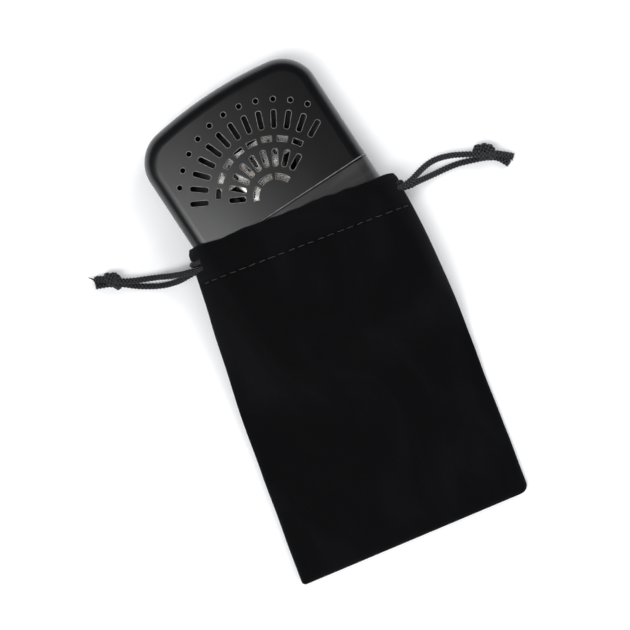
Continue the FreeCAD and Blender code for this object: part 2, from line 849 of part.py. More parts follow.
def pouch_panel(label, offcut_height):
    """One half of the pouch below its hem: a sewn tube of cloth with a closed bottom, split at its seams.

    Its underside is pressed flat on the ground: drawn a little lower, then cut off level.
    """
    body = pouch_body(label)
    pouch_form(body, "0", "(-ground_trim)", BOTTOM_PLACE)
    inside = new_body("pouch_inside")
    pouch_form(inside, "fabric_thickness", "fabric_thickness", f"({BOTTOM_PLACE} + fabric_thickness)")
    combine(body, inside, "Cut")
    ground = new_sketch(body, "Ground", "YZ_Plane")
    rectangle(ground, f"({BOTTOM_PLACE} - hem_width)", "mouth_place", "(-2 * ground_trim)", "0")
    cut_through(body, ground)
    seam_side(body, offcut_height)
    return body


def hem_ring(sketch, outer, inner):
    """The space between two outlines, each given by its depth below the hem's outside."""
    for depth in (outer, inner):
        rounded_rectangle(
            sketch,
            f"({HEM_LEFT} + {depth})",
            f"({HEM_RIGHT} - {depth})",
            depth,
            f"(2 * {CASE_MIDDLE} - {depth})",
            f"(hem_corner + {HEM_STACK} - {depth})",
        )


def hem_half(label, offcut_height):
    """Half of the doubled hem: two layers of cloth with a channel for the drawcords between them."""
    body = pouch_body(label)
    ring = cross_section(body, "Ring", HEM_LINE)
    hem_ring(ring, "0", HEM_STACK)
    pad_along(body, ring, "hem_width")
    channel = cross_section(body, "Channel", f"({HEM_LINE} + hem_fabric)")
    hem_ring(channel, "hem_fabric", f"({HEM_STACK} - hem_fabric)")
    pocket(body, channel, "hem_width - 2 * hem_fabric")
    exit_slot(body, "LeftExit", f"({HEM_LEFT} + {HEM_STACK} / 2)", LEFT_CORD_PLACE, outwards_back=False)
    exit_slot(body, "RightExit", f"({HEM_RIGHT} - {HEM_STACK} / 2)", RIGHT_CORD_PLACE, outwards_back=True)
    seam_side(body, offcut_height)
    return body


def exit_slot(body, name, across, cord_place, outwards_back):
    """The gap in the side seam that a drawcord's two strands come out of."""
    sketch = new_sketch(body, name, "YZ_Plane", offset=across)
    reach = "(strand_spacing / 2 + cord_exit_radius + cord_clearance)"
    rectangle(
        sketch,
        f"({cord_place} - exit_slot_width / 2)",
        f"({cord_place} + exit_slot_width / 2)",
        f"({CASE_MIDDLE} - {reach})",
        f"({CASE_MIDDLE} + {reach})",
    )
    pocket(body, sketch, HEM_STACK, back=outwards_back)


def hem_stitches(label, height):
    """A row of stitches along the hem line, the first at the left, repeated along the hem."""
    body = pouch_body(label)
    sketch = new_sketch(body, "Stitch", "XY_Plane", offset=height)
    middle = f"(({HEM_LEFT} + {HEM_RIGHT}) / 2)"
    gaps = f"floor(({HEM_RIGHT} - {HEM_LEFT} - 2 * stitch_margin) / stitch_pitch)"
    first = f"({middle} - stitch_pitch * {gaps} / 2)"
    place = f"({HEM_LINE} + stitch_inset)"
    rectangle(
        sketch,
        f"({first} - stitch_length / 2)",
        f"({first} + stitch_length / 2)",
        f"({place} - stitch_width / 2)",
        f"({place} + stitch_width / 2)",
    )
    stitch = pad(body, sketch, "stitch_height")
    pattern = body.newObject("PartDesign::LinearPattern", "StitchRow")
    pattern.Originals = [stitch]
    pattern.Direction = (sketch, ["H_Axis"])
    bind(pattern, "Length", f"stitch_pitch * {gaps}")
    bind(pattern, "Occurrences", f"{gaps} + 1")
    body.Tip = pattern
    return body


def seam_allowance(label, left, right, low, high):
    """A strip of spare cloth inside the pouch's flat part, on the back panel."""
    body = pouch_body(label)
    sketch = new_sketch(body, "Strip", "XY_Plane", offset="fabric_thickness")
    rectangle(sketch, left, right, low, high)
    pad(body, sketch, "allowance_thickness")
    return body


def seam_allowances():
    left = f"({FLAT_LEFT} + fabric_thickness + allowance_setback)"
    right = f"({FLAT_RIGHT} - fabric_thickness - allowance_setback)"
    low = f"({BOTTOM_PLACE} + fabric_thickness + allowance_setback)"
    left_inner = f"({left} + allowance_width)"
    right_inner = f"({right} - allowance_width)"
    return [
        seam_allowance("seam_allowance_left", left, left_inner, low, FLAT_PLACE),
        seam_allowance("seam_allowance_right", right_inner, right, low, FLAT_PLACE),
        seam_allowance("seam_allowance_bottom", left_inner, right_inner, low, f"({low} + allowance_width)"),
    ]


# ---------------------------------------------------------------- the drawcords


def arc_radii(points):
    """The largest radius at each inner point: 0.45 of its shorter run over the tangent of half its turn."""
    radii = []
    for before, point, after in zip(points, points[1:], points[2:]):
        turn = (point - before).getAngle(after - point)
        shorter = min((point - before).Length, (after - point).Length)
        radii.append(0.45 * shorter / math.tan(turn / 2))
    return radii


def bent_path(points, radii):
    """Straight runs joined by tangent arcs."""
    edges = []
    start = points[0]
    for before, point, after, radius in zip(points, points[1:], points[2:], radii):
        incoming = (point - before).normalize()
        outgoing = (after - point).normalize()
        reach = radius * math.tan(incoming.getAngle(outgoing) / 2)
        arc_start = point - incoming * reach
        arc_end = point + outgoing * reach
        inwards = (outgoing - incoming).normalize()
        centre_distance = math.hypot(radius, reach)
        arc_middle = point + inwards * (centre_distance - radius)
        edges.append(Part.LineSegment(start, arc_start).toShape())
        edges.append(Part.Arc(arc_start, arc_middle, arc_end).toShape())
        start = arc_end
    edges.append(Part.LineSegment(start, points[-1]).toShape())
    return Part.Wire(edges)


def cord_tube(label, points, radii=None):
    radii = radii or arc_radii(points)
    path = bent_path(points, radii)
    radius = value("cord_diameter") / 2
    first_run = points[1] - points[0]
    section = Part.Wire(Part.makeCircle(radius, points[0], first_run))
    feature = document.addObject("Part::Feature", label)
    feature.Shape = path.makePipeShell([section], True, False)
    feature.Label = label
    expected = math.pi * radius ** 2 * path.Length
    print(f"{label}: length {path.Length:.1f}, volume {feature.Shape.Volume / expected:.4f} of section x length,")
    print("   radii", " ".join(f"{number:.1f}" for number in radii))
    return feature


def pouch_point(across, along, height):
    """A point given in the pouch's own turned directions, in the part's frame."""
    turn = math.radians(value("pouch_turn"))
    return Vector(
        across * math.cos(turn) + along * math.sin(turn),
        along * math.cos(turn) - across * math.sin(turn),
        height,
    )


def hem_run(label, side, place):
    """A drawcord's run round the hem: in at one side (-1 left, 1 right), round the mouth and out again."""
    half_stack = value(HEM_STACK) / 2
    near, far = value(HEM_LEFT) + half_stack, value(HEM_RIGHT) - half_stack
    if side > 0:
        near, far = far, near
    exit_radius = value("cord_exit_radius")
    outside = near + side * exit_radius / 0.45
    middle = value(CASE_MIDDLE)
    upper, lower = middle + value("strand_spacing / 2"), middle - value("strand_spacing / 2")
    top, bottom = 2 * middle - half_stack, half_stack
    along = value(place)
    route = [
        (outside, upper),
        (near, upper),
        (near, top),
        (far, top),
        (far, bottom),
        (near, bottom),
        (near, lower),
        (outside, lower),
    ]
    points = [pouch_point(across, along, height) for across, height in route]
    corner = value("hem_corner") + half_stack
    tube = cord_tube(label, points, [exit_radius, corner, corner, corner, corner, exit_radius])
    return tube, points[0], points[-1]


# Each strand's route after it leaves the hem, in the part's frame: down to the ground, through the knot and on as a
# tail. The knot is at the point that both strands of a side share in plan.
LEFT_UPPER_ROUTE = [(-45.4, 54.9, 10.4), (-49.9, 57.8, 7.4), (-54.6, 61.2, 4.3), (-59.9, 63.4, 3.6),
                    (-65.3, 66.4, 4.8), (-69.3, 69.9, 2.6), (-71.9, 72.6, 1.1)]
LEFT_LOWER_ROUTE = [(-45.5, 53.0, 7.6), (-50.1, 54.4, 3.9), (-54.9, 57.3, 1.4), (-59.9, 60.6, 1.1),
                    (-65.6, 65.4, 1.3), (-70.4, 67.6, 1.2), (-73.4, 68.3, 1.0)]
RIGHT_UPPER_ROUTE = [(45.6, 37.9, 10.4), (50.1, 39.7, 7.4), (55.2, 40.0, 4.6), (60.2, 38.5, 3.4),
                     (65.2, 35.4, 3.9), (70.2, 31.9, 4.8), (74.6, 28.5, 2.4), (77.7, 25.5, 1.1)]
RIGHT_LOWER_ROUTE = [(46.0, 36.2, 7.6), (50.9, 35.2, 3.9), (56.0, 33.6, 1.4), (61.2, 33.5, 1.1),
                     (66.0, 31.9, 1.1), (70.4, 31.2, 1.2), (73.1, 27.9, 1.2), (74.4, 24.2, 1.0)]
LEFT_KNOT = (-65.45, 65.9)
RIGHT_KNOT = (70.3, 31.55)
LEFT_KNOT_HEADING = 140.0
RIGHT_KNOT_HEADING = -35.0


def strand(label, start, route):
    return cord_tube(label, [start] + [Vector(*point) for point in route])


def knot(label, place, heading):
    """Both strands of a drawcord tied in one knot, as a closed egg shape lying on the ground."""
    feature = document.addObject("Part::Ellipsoid", label)
    feature.Label = label
    bind(feature, "Radius2", "knot_length / 2")
    bind(feature, "Radius3", "knot_width / 2")
    bind(feature, "Radius1", "knot_height / 2")
    feature.Placement = FreeCAD.Placement(Vector(*place, 0), FreeCAD.Rotation(Vector(0, 0, 1), heading))
    bind(feature, ".Placement.Base.z", "knot_height / 2")
    return feature


def drawcords():
    left_run, left_upper_exit, left_lower_exit = hem_run("drawcord_left_in_hem", -1, LEFT_CORD_PLACE)
    right_run, right_upper_exit, right_lower_exit = hem_run("drawcord_right_in_hem", 1, RIGHT_CORD_PLACE)
    return [
        left_run,
        right_run,
        strand("drawcord_left_upper_strand", left_upper_exit, LEFT_UPPER_ROUTE),
        strand("drawcord_left_lower_strand", left_lower_exit, LEFT_LOWER_ROUTE),
        strand("drawcord_right_upper_strand", right_upper_exit, RIGHT_UPPER_ROUTE),
        strand("drawcord_right_lower_strand", right_lower_exit, RIGHT_LOWER_ROUTE),
        knot("knot_left", LEFT_KNOT, LEFT_KNOT_HEADING),
        knot("knot_right", RIGHT_KNOT, RIGHT_KNOT_HEADING),
    ]


# ---------------------------------------------------------------- the whole part


def build():
    catalyst_face = "catalyst_thickness / 2"
    gauze_face = f"({catalyst_face} + gauze_thickness)"
    above = f"(3 * {CASE_MIDDLE})"
    below = f"(-{CASE_MIDDLE})"
    pieces = [
        tank_shell(),
        cap_shell(),
        collar(),
        filler_neck(),
        wick_felt(),
        cotton_batt("cotton_batt_front", 1),
        cotton_batt("cotton_batt_middle", 0),
        cotton_batt("cotton_batt_back", -1),
        burner_socket(),
        burner_frame(),
        burner_top_plate(),
        burner_grille("burner_grille_front", 1),
        burner_grille("burner_grille_back", -1),
        grille_rivets("grille_rivets_front", 1),
        grille_rivets("grille_rivets_back", -1),
        catalyst_layer("catalyst_pad", f"(-{catalyst_face})", catalyst_face),
        catalyst_layer("catalyst_gauze_front", catalyst_face, gauze_face),
        catalyst_layer("catalyst_gauze_back", f"(-{gauze_face})", f"(-{catalyst_face})"),
        pouch_panel("pouch_front_panel", below),
        pouch_panel("pouch_back_panel", above),
        hem_half("hem_front", below),
        hem_half("hem_back", above),
        hem_stitches("hem_stitches_front", f"(2 * {CASE_MIDDLE})"),
        hem_stitches("hem_stitches_back", "0"),
    ]
    return pieces + seam_allowances() + drawcords()


def check_document():
    document.recompute()
    for item in document.Objects:
        if "Invalid" in item.State or "Error" in item.State:
            raise RuntimeError(f"{item.Name} failed: {item.State}")


def write(pieces):
    os.makedirs("parts", exist_ok=True)
    for piece in pieces:
        shape = piece.Shape
        if shape.isNull() or not shape.isValid() or shape.Volume <= 0:
            raise RuntimeError(f"{piece.Label} has no valid solid")
        shape.exportStep(f"parts/{piece.Label}.step")
        print(f"{piece.Label}: {len(shape.Solids)} solids, {shape.Volume:.1f} mm3")


pieces = build()
check_document()
write(pieces)
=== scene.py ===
import json
import math
import random

import bmesh
import bpy
import numpy as np
from bpy.props import FloatProperty, FloatVectorProperty, IntProperty, PointerProperty
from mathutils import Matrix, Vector, noise


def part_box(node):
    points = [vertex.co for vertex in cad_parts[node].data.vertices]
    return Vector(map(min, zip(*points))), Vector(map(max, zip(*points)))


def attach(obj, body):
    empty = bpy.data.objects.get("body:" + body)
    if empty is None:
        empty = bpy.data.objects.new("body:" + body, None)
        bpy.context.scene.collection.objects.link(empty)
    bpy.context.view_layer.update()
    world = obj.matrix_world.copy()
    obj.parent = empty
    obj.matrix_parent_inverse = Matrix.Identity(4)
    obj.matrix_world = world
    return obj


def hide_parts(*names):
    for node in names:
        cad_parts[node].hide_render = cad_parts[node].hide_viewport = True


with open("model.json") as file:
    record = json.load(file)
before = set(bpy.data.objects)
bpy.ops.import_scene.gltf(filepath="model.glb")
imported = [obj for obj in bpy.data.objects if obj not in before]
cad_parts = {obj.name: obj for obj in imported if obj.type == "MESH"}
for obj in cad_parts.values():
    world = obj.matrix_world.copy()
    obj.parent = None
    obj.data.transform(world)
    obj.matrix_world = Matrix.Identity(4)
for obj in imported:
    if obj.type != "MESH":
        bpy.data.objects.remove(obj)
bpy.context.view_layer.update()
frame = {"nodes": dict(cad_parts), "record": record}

bl_info = {
    "name": "Hand Warmer Dressing",
    "version": (1, 0, 0),
    "blender": (4, 5, 0),
    "location": "3D View > Sidebar > Warmer",
    "description": "Finishes a hand warmer's metal and builds its velvet pouch, thread and drawcords",
    "category": "Add Mesh",
}

MM = 0.001

# The pouch lies turned from the warmer's axis; its own directions are x across it and y towards its mouth.
POUCH_TURN = math.radians(12.3)
CASE_LOW, CASE_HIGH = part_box("cap_shell")
CASE_HALF_WIDTH = (CASE_HIGH[0] - CASE_LOW[0]) / 2
CASE_MIDDLE = (CASE_HIGH[2] + CASE_LOW[2]) / 2
CASE_TOP = CASE_HIGH[2]


# ---------------------------------------------------------------- settings


def distance(name, description, default):
    return FloatProperty(name=name, description=description, default=default, subtype="DISTANCE",
                         unit="LENGTH")


def colour(name, description, default):
    return FloatVectorProperty(name=name, description=description, default=default, subtype="COLOR",
                               min=0, max=1)


def factor(name, description, default):
    return FloatProperty(name=name, description=description, default=default, subtype="FACTOR", min=0, max=1)


class WarmerMetalSettings(bpy.types.PropertyGroup):
    """Finishes of the case and of the metal inside it."""

    case_colour: colour("Case", "Satin black of the cap and the tank", (0.0026, 0.0026, 0.0031))
    case_roughness: factor("Case roughness", "How far the satin black spreads a reflection", 0.29)
    # The tank's colour is painted lighter than the cap's as painted reflection.
    tank_colour_with_painted_reflection: colour("Tank", "Satin black of the tank", (0.028, 0.0275, 0.0277))
    # The edge grey is partly worn lacquer and partly painted highlight.
    worn_and_highlit_edge_colour: colour("Edge", "Worn lacquer on the edges of the vents and of the cap", (0.19, 0.185, 0.18))
    nickel_colour: colour("Nickel", "Plate of the burner, the neck and the deck", (0.56, 0.55, 0.535))
    brass_colour: colour("Brass", "Rivets of the burner", (0.72, 0.55, 0.27))


class WarmerPouchSettings(bpy.types.PropertyGroup):
    """Sizes and colours of the velvet pouch and its thread."""

    mouth_place: distance("Mouth", "Place of the mouth along the pouch", 50.2 * MM)
    length: distance("Length", "Length of the pouch from its bottom seam to its mouth", 122.7 * MM)
    hem_width: distance("Hem", "Width of the hem from the mouth to its stitches", 12.0 * MM)
    fabric: distance("Fabric", "Thickness of the velvet", 1.0 * MM)
    slope_length: distance("Slope", "Length over which the cloth comes down beside the warmer", 24.0 * MM)
    velvet_colour: colour("Velvet", "Colour of the velvet's pile", (0.0022, 0.0022, 0.0026))
    thread_colour: colour("Thread", "Colour of the hem's sewing thread", (0.036, 0.036, 0.039))
    stitch_length: distance("Stitch", "Length of one stitch", 2.6 * MM)
    stitch_pitch: distance("Stitch pitch", "From one stitch to the next", 3.6 * MM)


class WarmerCordSettings(bpy.types.PropertyGroup):
    """Sizes and colours of the two drawcords."""

    diameter: distance("Diameter", "Outside diameter of the braided cord", 2.0 * MM)
    colour: colour("Cord", "Colour of the braided yarn", (0.026, 0.026, 0.0285))
    # The left cord's colour is darkened as painted shade, for light that falls from the right.
    left_painted_shade_share: factor("Left cord", "Colour of the left cord as a share of the right one's", 0.72)
    yarns: IntProperty(name="Yarns", description="Yarns wound each way round the plait", default=4,
                       min=3, max=12)
    plait: distance("Plait", "Length of cord from one yarn to the next wound the same way", 1.25 * MM)


class WarmerStageSettings(bpy.types.PropertyGroup):
    """The floor, the lamps and the camera."""

    lens: FloatProperty(name="Lens", description="Focal length", default=100.0, unit="CAMERA")
    camera_height: distance("Camera height", "Height of the camera over the ground", 0.6195)
    camera_turn: FloatProperty(name="Turn", description="Turn of the picture about the upright axis",
                               default=math.radians(-33.33), subtype="ANGLE", unit="ROTATION")
    floor_colour: colour("Floor", "Colour of the floor", (0.82, 0.83, 0.85))


def metal():
    return bpy.context.scene.warmer_metal


def pouch():
    return bpy.context.scene.warmer_pouch


def cords():
    return bpy.context.scene.warmer_cords


# ---------------------------------------------------------------- materials


# The mesh attribute that holds how high each point stands over the grooves of its yarn or cord.
# The yarn finishes turn it into painted shade, darkest in the grooves.
RAISED = "raised"


class Value:
    """A node's output that arithmetic works on: each expression adds its Math nodes."""

    def __init__(self, finish, socket):
        self.finish = finish
        self.socket = socket

    def math(self, operation, *terms):
        return self.finish.node("ShaderNodeMath", {"operation": operation}, dict(enumerate(terms)))

    def __add__(self, other):
        return self.math("ADD", self, other)

    def __radd__(self, other):
        return self.math("ADD", other, self)

    def __sub__(self, other):
        return self.math("SUBTRACT", self, other)

    def __rsub__(self, other):
        return self.math("SUBTRACT", other, self)

    def __mul__(self, other):
        return self.math("MULTIPLY", self, other)

    def __rmul__(self, other):
        return self.math("MULTIPLY", other, self)

    def __abs__(self):
        return self.math("ABSOLUTE", self)


class Nodes:
    """A node tree in the making."""

    def __init__(self, tree):
        self.tree = tree

    def put(self, socket, item):
        if isinstance(item, Value):
            self.tree.links.new(item.socket, socket)
        else:
            socket.default_value = item

    def node(self, kind, settings=None, inputs=None, output=0):
        """Add a node, set its settings and its sockets, and return one of its outputs."""
        node = self.tree.nodes.new(kind)
        for name, setting in (settings or {}).items():
            setattr(node, name, setting)
        for key, item in (inputs or {}).items():
            self.put(node.inputs[key], item)
        return Value(self, node.outputs[output])

    def parts(self, vector):
        """The three numbers of a vector."""
        return [self.node("ShaderNodeSeparateXYZ", inputs={0: vector}, output=axis) for axis in range(3)]

    def spread(self, value, low, high, to_low=0.0, to_high=1.0):
        """A smooth change from to_low to to_high as the value goes from low to high."""
        settings = {"interpolation_type": "SMOOTHSTEP"}
        inputs = {"Value": value, "From Min": low, "From Max": high, "To Min": to_low, "To Max": to_high}
        return self.node("ShaderNodeMapRange", settings, inputs)

    def rays(self, *kinds):
        """1 for light paths of the kinds named, such as Camera or Glossy."""
        found = [self.node("ShaderNodeLightPath", output=f"Is {kind} Ray") for kind in kinds]
        total = found[0]
        for kind in found[1:]:
            total = total.math("MAXIMUM", total, kind)
        return total


class Finish(Nodes):
    """A material in the making, with its Principled shader."""

    def __init__(self, name):
        self.material = bpy.data.materials.new(name)
        self.material.use_nodes = True
        super().__init__(self.material.node_tree)
        self.shader = self.tree.nodes["Principled BSDF"]

    def set(self, **values):
        """Set sockets of the shader, named with _ for a space."""
        for name, item in values.items():
            self.put(self.shader.inputs[name.replace("_", " ")], item)

    def place(self):
        return self.node("ShaderNodeTexCoord", output="Object")

    def facing(self):
        """The surface's direction, in the object's own axes, as three values."""
        return self.parts(self.node("ShaderNodeTexCoord", output="Normal"))

    def raised(self):
        """How high each point of a yarn or cord stands over its grooves, from 0 to 1."""
        return self.node("ShaderNodeAttribute", {"attribute_name": RAISED}, output="Fac")

    def noise(self, size, detail=2.0, roughness=0.5, stretch=None, distortion=0.0):
        """Noise from 0 to 1 whose lumps are about size across."""
        where = self.place()
        if stretch:
            where = self.node("ShaderNodeMapping", inputs={"Vector": where, "Scale": stretch})
        inputs = {"Vector": where, "Scale": 1 / size, "Detail": detail, "Roughness": roughness,
                  "Distortion": distortion}
        return self.node("ShaderNodeTexNoise", inputs=inputs)

    def blend(self, share, first, second):
        """A colour between two colours."""
        pair = [(*item, 1.0) if isinstance(item, tuple) else item for item in (first, second)]
        inputs = {0: share, 6: pair[0], 7: pair[1]}
        return self.node("ShaderNodeMix", {"data_type": "RGBA"}, inputs, output=2)

    def bump(self, height, depth, strength):
        """Raise and lower the surface by a height from 0 to 1."""
        inputs = {"Height": height, "Distance": depth, "Strength": strength}
        self.set(Normal=self.node("ShaderNodeBump", inputs=inputs))


def shade(base, share):
    """A colour lightened or darkened by a share."""
    return tuple(channel * share for channel in base)


LACQUER_COAT = 0.35
LACQUER_COAT_ROUGHNESS = 0.22
FLECK_SIZE = 0.35 * MM
FLECK_DEPTH = 0.006 * MM


def satin_black():
    """Baked satin lacquer on pressed brass; its grey punched edges are partly worn, partly painted
    highlight.
    """
    finish = Finish("satin_black")
    base = tuple(metal().case_colour)
    edge = tuple(metal().worn_and_highlit_edge_colour)
    upright = abs(finish.facing()[2])
    fleck = finish.noise(FLECK_SIZE, detail=3)
    smear = finish.noise(16 * MM, detail=4, stretch=(1.0, 0.45, 1.0), distortion=0.6)
    # The vents' upright walls take the edge grey: partly bared metal, partly painted highlight.
    bared_and_highlit = finish.spread(upright, 0.25, 0.85, 1.0, 0.0) * near_vents(finish)
    tone = finish.blend(finish.spread(smear, 0.35, 0.7), shade(base, 0.85), shade(base, 1.3))
    finish.set(
        Base_Color=finish.blend(bared_and_highlit, tone, edge),
        Roughness=metal().case_roughness + 0.07 * smear + 0.03 * fleck,
        Coat_Weight=LACQUER_COAT,
        Coat_Roughness=LACQUER_COAT_ROUGHNESS,
    )
    finish.bump(fleck, FLECK_DEPTH, 0.5)
    return finish.material


# Width of the painted shadow on the tank where it runs in under the cap, and its colour as a share of the
# tank's.
SEAM_SHADOW_WIDTH = 0.9 * MM
SEAM_SHADE = 0.03


def tank_satin():
    """The tank's satin lacquer, lighter than the cap's, faintly streaked along the seam: painted reflection.
    """
    finish = Finish("tank_satin")
    base = tuple(metal().tank_colour_with_painted_reflection)
    drawn = finish.noise(2.2 * MM, detail=3, stretch=(0.16, 1.0, 1.0), distortion=0.4)
    broad_reflection_patches = finish.noise(7 * MM, detail=2, stretch=(0.3, 1.0, 1.0), distortion=0.8)
    below_cap = CASE_LOW[1] - finish.parts(finish.place())[1]
    # Painted shadow along the seam: the colour falls to a share of the tank's and the coat goes.
    clear = finish.spread(below_cap, SEAM_SHADOW_WIDTH / 2, SEAM_SHADOW_WIDTH)
    # Painted reflection: two noises streak the tank lighter and darker along the seam.
    streaks = 0.4 * finish.spread(drawn, 0.3, 0.72) + 0.6 * finish.spread(broad_reflection_patches, 0.3, 0.7)
    tone = finish.blend(streaks, shade(base, 0.7), shade(base, 1.35))
    finish.set(
        Base_Color=finish.blend(clear, shade(base, SEAM_SHADE), tone),
        Roughness=metal().case_roughness + 0.10 * drawn,
        Coat_Weight=LACQUER_COAT * clear,
        Coat_Roughness=LACQUER_COAT_ROUGHNESS,
    )
    finish.bump(finish.noise(FLECK_SIZE, detail=3), FLECK_DEPTH, 0.5)
    return finish.material


def rolled_edge():
    """Lacquer worn grey along an edge that the press rolled over, the grey partly painted highlight."""
    finish = Finish("rolled_edge")
    base = tuple(metal().worn_and_highlit_edge_colour)
    worn = finish.noise(1.6 * MM, detail=3)
    finish.set(
        Base_Color=finish.blend(finish.spread(worn, 0.3, 0.7), shade(base, 0.55), shade(base, 1.2)),
        Roughness=0.35,
    )
    return finish.material


# The part of the cap's front face that holds its vents, and the width over which its edges fade.
VENTS_HALF_WIDTH = 30 * MM
VENTS_BOTTOM = 54.5 * MM
VENTS_TOP = 94 * MM
VENTS_LOWEST = CASE_MIDDLE + 4 * MM
VENTS_FADE = 1 * MM


def near_vents(finish):
    """1 within the cap's front face where its vents are, away from the outer rim."""
    x, y, z = finish.parts(finish.place())
    inside = finish.spread(abs(x), VENTS_HALF_WIDTH - VENTS_FADE, VENTS_HALF_WIDTH, 1.0, 0.0)
    above = finish.spread(y, VENTS_BOTTOM, VENTS_BOTTOM + VENTS_FADE)
    below = finish.spread(y, VENTS_TOP - VENTS_FADE, VENTS_TOP, 1.0, 0.0)
    front = finish.spread(z, VENTS_LOWEST, VENTS_LOWEST + VENTS_FADE)
    return inside * above * below * front


# What heat does to bright plate: the share of each colour that a stain leaves.
HEAT_STAIN = (0.68, 0.62, 0.56)


def bright_plate(name, base, roughness):
    """Polished plate over pressed sheet, a little uneven and dulled by heat in places."""
    finish = Finish(name)
    stain = finish.noise(5 * MM, detail=1)
    dents = finish.noise(4.5 * MM, detail=0)
    warm = tuple(channel * share for channel, share in zip(base, HEAT_STAIN))
    finish.set(
        Base_Color=finish.blend(finish.spread(stain, 0.45, 0.75), base, warm),
        Metallic=1.0,
        Roughness=roughness + 0.06 * stain,
    )
    finish.bump(dents, 0.26 * MM, 0.6)
    return finish.material


def fibrous(name, base, size, depth, contrast):
    """Matted fibres: fine stretched noise over soft lumps."""
    finish = Finish(name)
    fibres = finish.noise(size, detail=5, roughness=0.7, stretch=(1.0, 0.3, 0.8), distortion=1.5)
    lumps = finish.noise(size * 9, detail=2)
    tone = finish.spread(0.6 * fibres + 0.4 * lumps, 0.3, 0.7)
    finish.set(
        Base_Color=finish.blend(tone, shade(base, 1 - contrast), base),
        Roughness=0.95,
        Sheen_Weight=0.2,
    )
    finish.bump(0.7 * fibres + 0.5 * lumps, depth, 0.8)
    return finish.material


GAUZE_WIRE_PITCH = 0.45 * MM


def woven_gauze():
    """Fine steel wire cloth: over and under by turns, with painted shade where the wires dip."""
    finish = Finish("steel_gauze")
    across = finish.parts(finish.place())[:2]
    waves = [value.math("SINE", value * (math.pi / GAUZE_WIRE_PITCH)) for value in across]
    height = waves[0] * waves[1]
    # Painted shade: the colour darkens from light metal to dark grey where the wires dip under each other.
    finish.set(
        Base_Color=finish.blend(finish.spread(height, -0.6, 0.6), (0.10, 0.095, 0.09), (0.62, 0.60, 0.57)),
        Metallic=1.0,
        Roughness=0.32 + 0.1 * finish.noise(2 * MM),
    )
    finish.bump(height, 0.12 * MM, 0.8)
    return finish.material


def velvet():
    """Short black pile: brushed patches, a fine nap and a soft sheen where it turns away."""
    finish = Finish("velvet")
    base = tuple(pouch().velvet_colour)
    nap = finish.noise(0.22 * MM, detail=3, roughness=0.7)
    tufts = finish.noise(0.8 * MM, detail=3, roughness=0.6, distortion=0.8)
    brushed = finish.noise(26 * MM, detail=3, stretch=(1.0, 0.5, 1.0), distortion=1.2)
    tone = 0.45 * finish.spread(brushed, 0.4, 0.7) + 0.35 * tufts + 0.2 * nap
    finish.set(
        Base_Color=finish.blend(tone, shade(base, 0.55), shade(base, 1.9)),
        Roughness=0.88 + 0.12 * brushed,
        Specular_IOR_Level=0.12,
        Sheen_Weight=0.055,
        Sheen_Roughness=0.42,
        Sheen_Tint=(0.62, 0.63, 0.68, 1.0),
    )
    finish.bump(0.6 * nap + 0.8 * tufts, 0.16 * MM, 0.7)
    return finish.material


def spun_yarn(name, base, size):
    """Twisted or braided filament yarn: fine streaks with a little gloss, and painted shade down in its
    grooves.
    """
    finish = Finish(name)
    streak = finish.noise(size, detail=3, roughness=0.65, distortion=0.7)
    patch = finish.noise(size * 7, detail=2)
    # Painted shade: the colour falls nearly to black with the point's height over its grooves.
    lit = finish.spread(finish.raised(), 0.25, 1.0)
    tone = lit * (0.45 + 0.75 * finish.spread(0.7 * streak + 0.3 * patch, 0.3, 0.7))
    finish.set(
        Base_Color=finish.blend(tone, shade(base, 0.04), shade(base, 2.6)),
        Roughness=0.62 - 0.2 * streak,
        Specular_IOR_Level=0.25,
    )
    finish.bump(streak, 0.04 * MM, 0.6)
    return finish.material


CORD_STREAK = 0.12 * MM
MAKERS = {
    "black_satin": satin_black,
    "rolled_edge": rolled_edge,
    "tank_satin": tank_satin,
    "nickel_plate": lambda: bright_plate("nickel_plate", tuple(metal().nickel_colour), 0.19),
    "brass": lambda: bright_plate("brass", tuple(metal().brass_colour), 0.26),
    "steel_mesh": woven_gauze,
    "cotton": lambda: fibrous("cotton", (0.86, 0.85, 0.81), 0.35 * MM, 0.35 * MM, contrast=0.2),
    "felt": lambda: fibrous("felt", (0.74, 0.73, 0.68), 0.16 * MM, 0.12 * MM, contrast=0.25),
    "catalyst": lambda: fibrous("catalyst", (0.34, 0.33, 0.31), 0.22 * MM, 0.2 * MM, contrast=0.45),
    "velvet": velvet,
    "thread": lambda: spun_yarn("thread", tuple(pouch().thread_colour), 0.1 * MM),
    "cord": lambda: spun_yarn("braided_cord", tuple(cords().colour), CORD_STREAK),
    "painted_shade_cord": lambda: spun_yarn("painted_shade_cord", shade(cords().colour, cords().left_painted_shade_share), CORD_STREAK),
}
MADE = {}


def material(name):
    """One of the finishes, made when it is first asked for."""
    if name not in MADE:
        MADE[name] = MAKERS[name]()
    return MADE[name]


# ---------------------------------------------------------------- meshes


def new_piece(name, points, faces, slot, nodes=(), raised=None, body="pouch"):
    """A smooth mesh that rides with a body, with a slot's finish, in place of some of the frame's solids.

    raised gives how high each point stands over the grooves of a yarn or cord.
    """
    mesh = bpy.data.meshes.new(name)
    mesh.from_pydata([tuple(point) for point in points], [], [tuple(face) for face in faces])
    if raised is not None:
        heights = mesh.attributes.new(RAISED, "FLOAT", "POINT").data
        heights.foreach_set("value", np.asarray(raised, dtype=np.float32))
    mesh.validate()
    mesh.shade_smooth()
    mesh.materials.append(material(slot))
    piece = bpy.data.objects.new(name, mesh)
    bpy.context.scene.collection.objects.link(piece)
    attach(piece, body)
    if nodes:
        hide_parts(*nodes)
    return piece


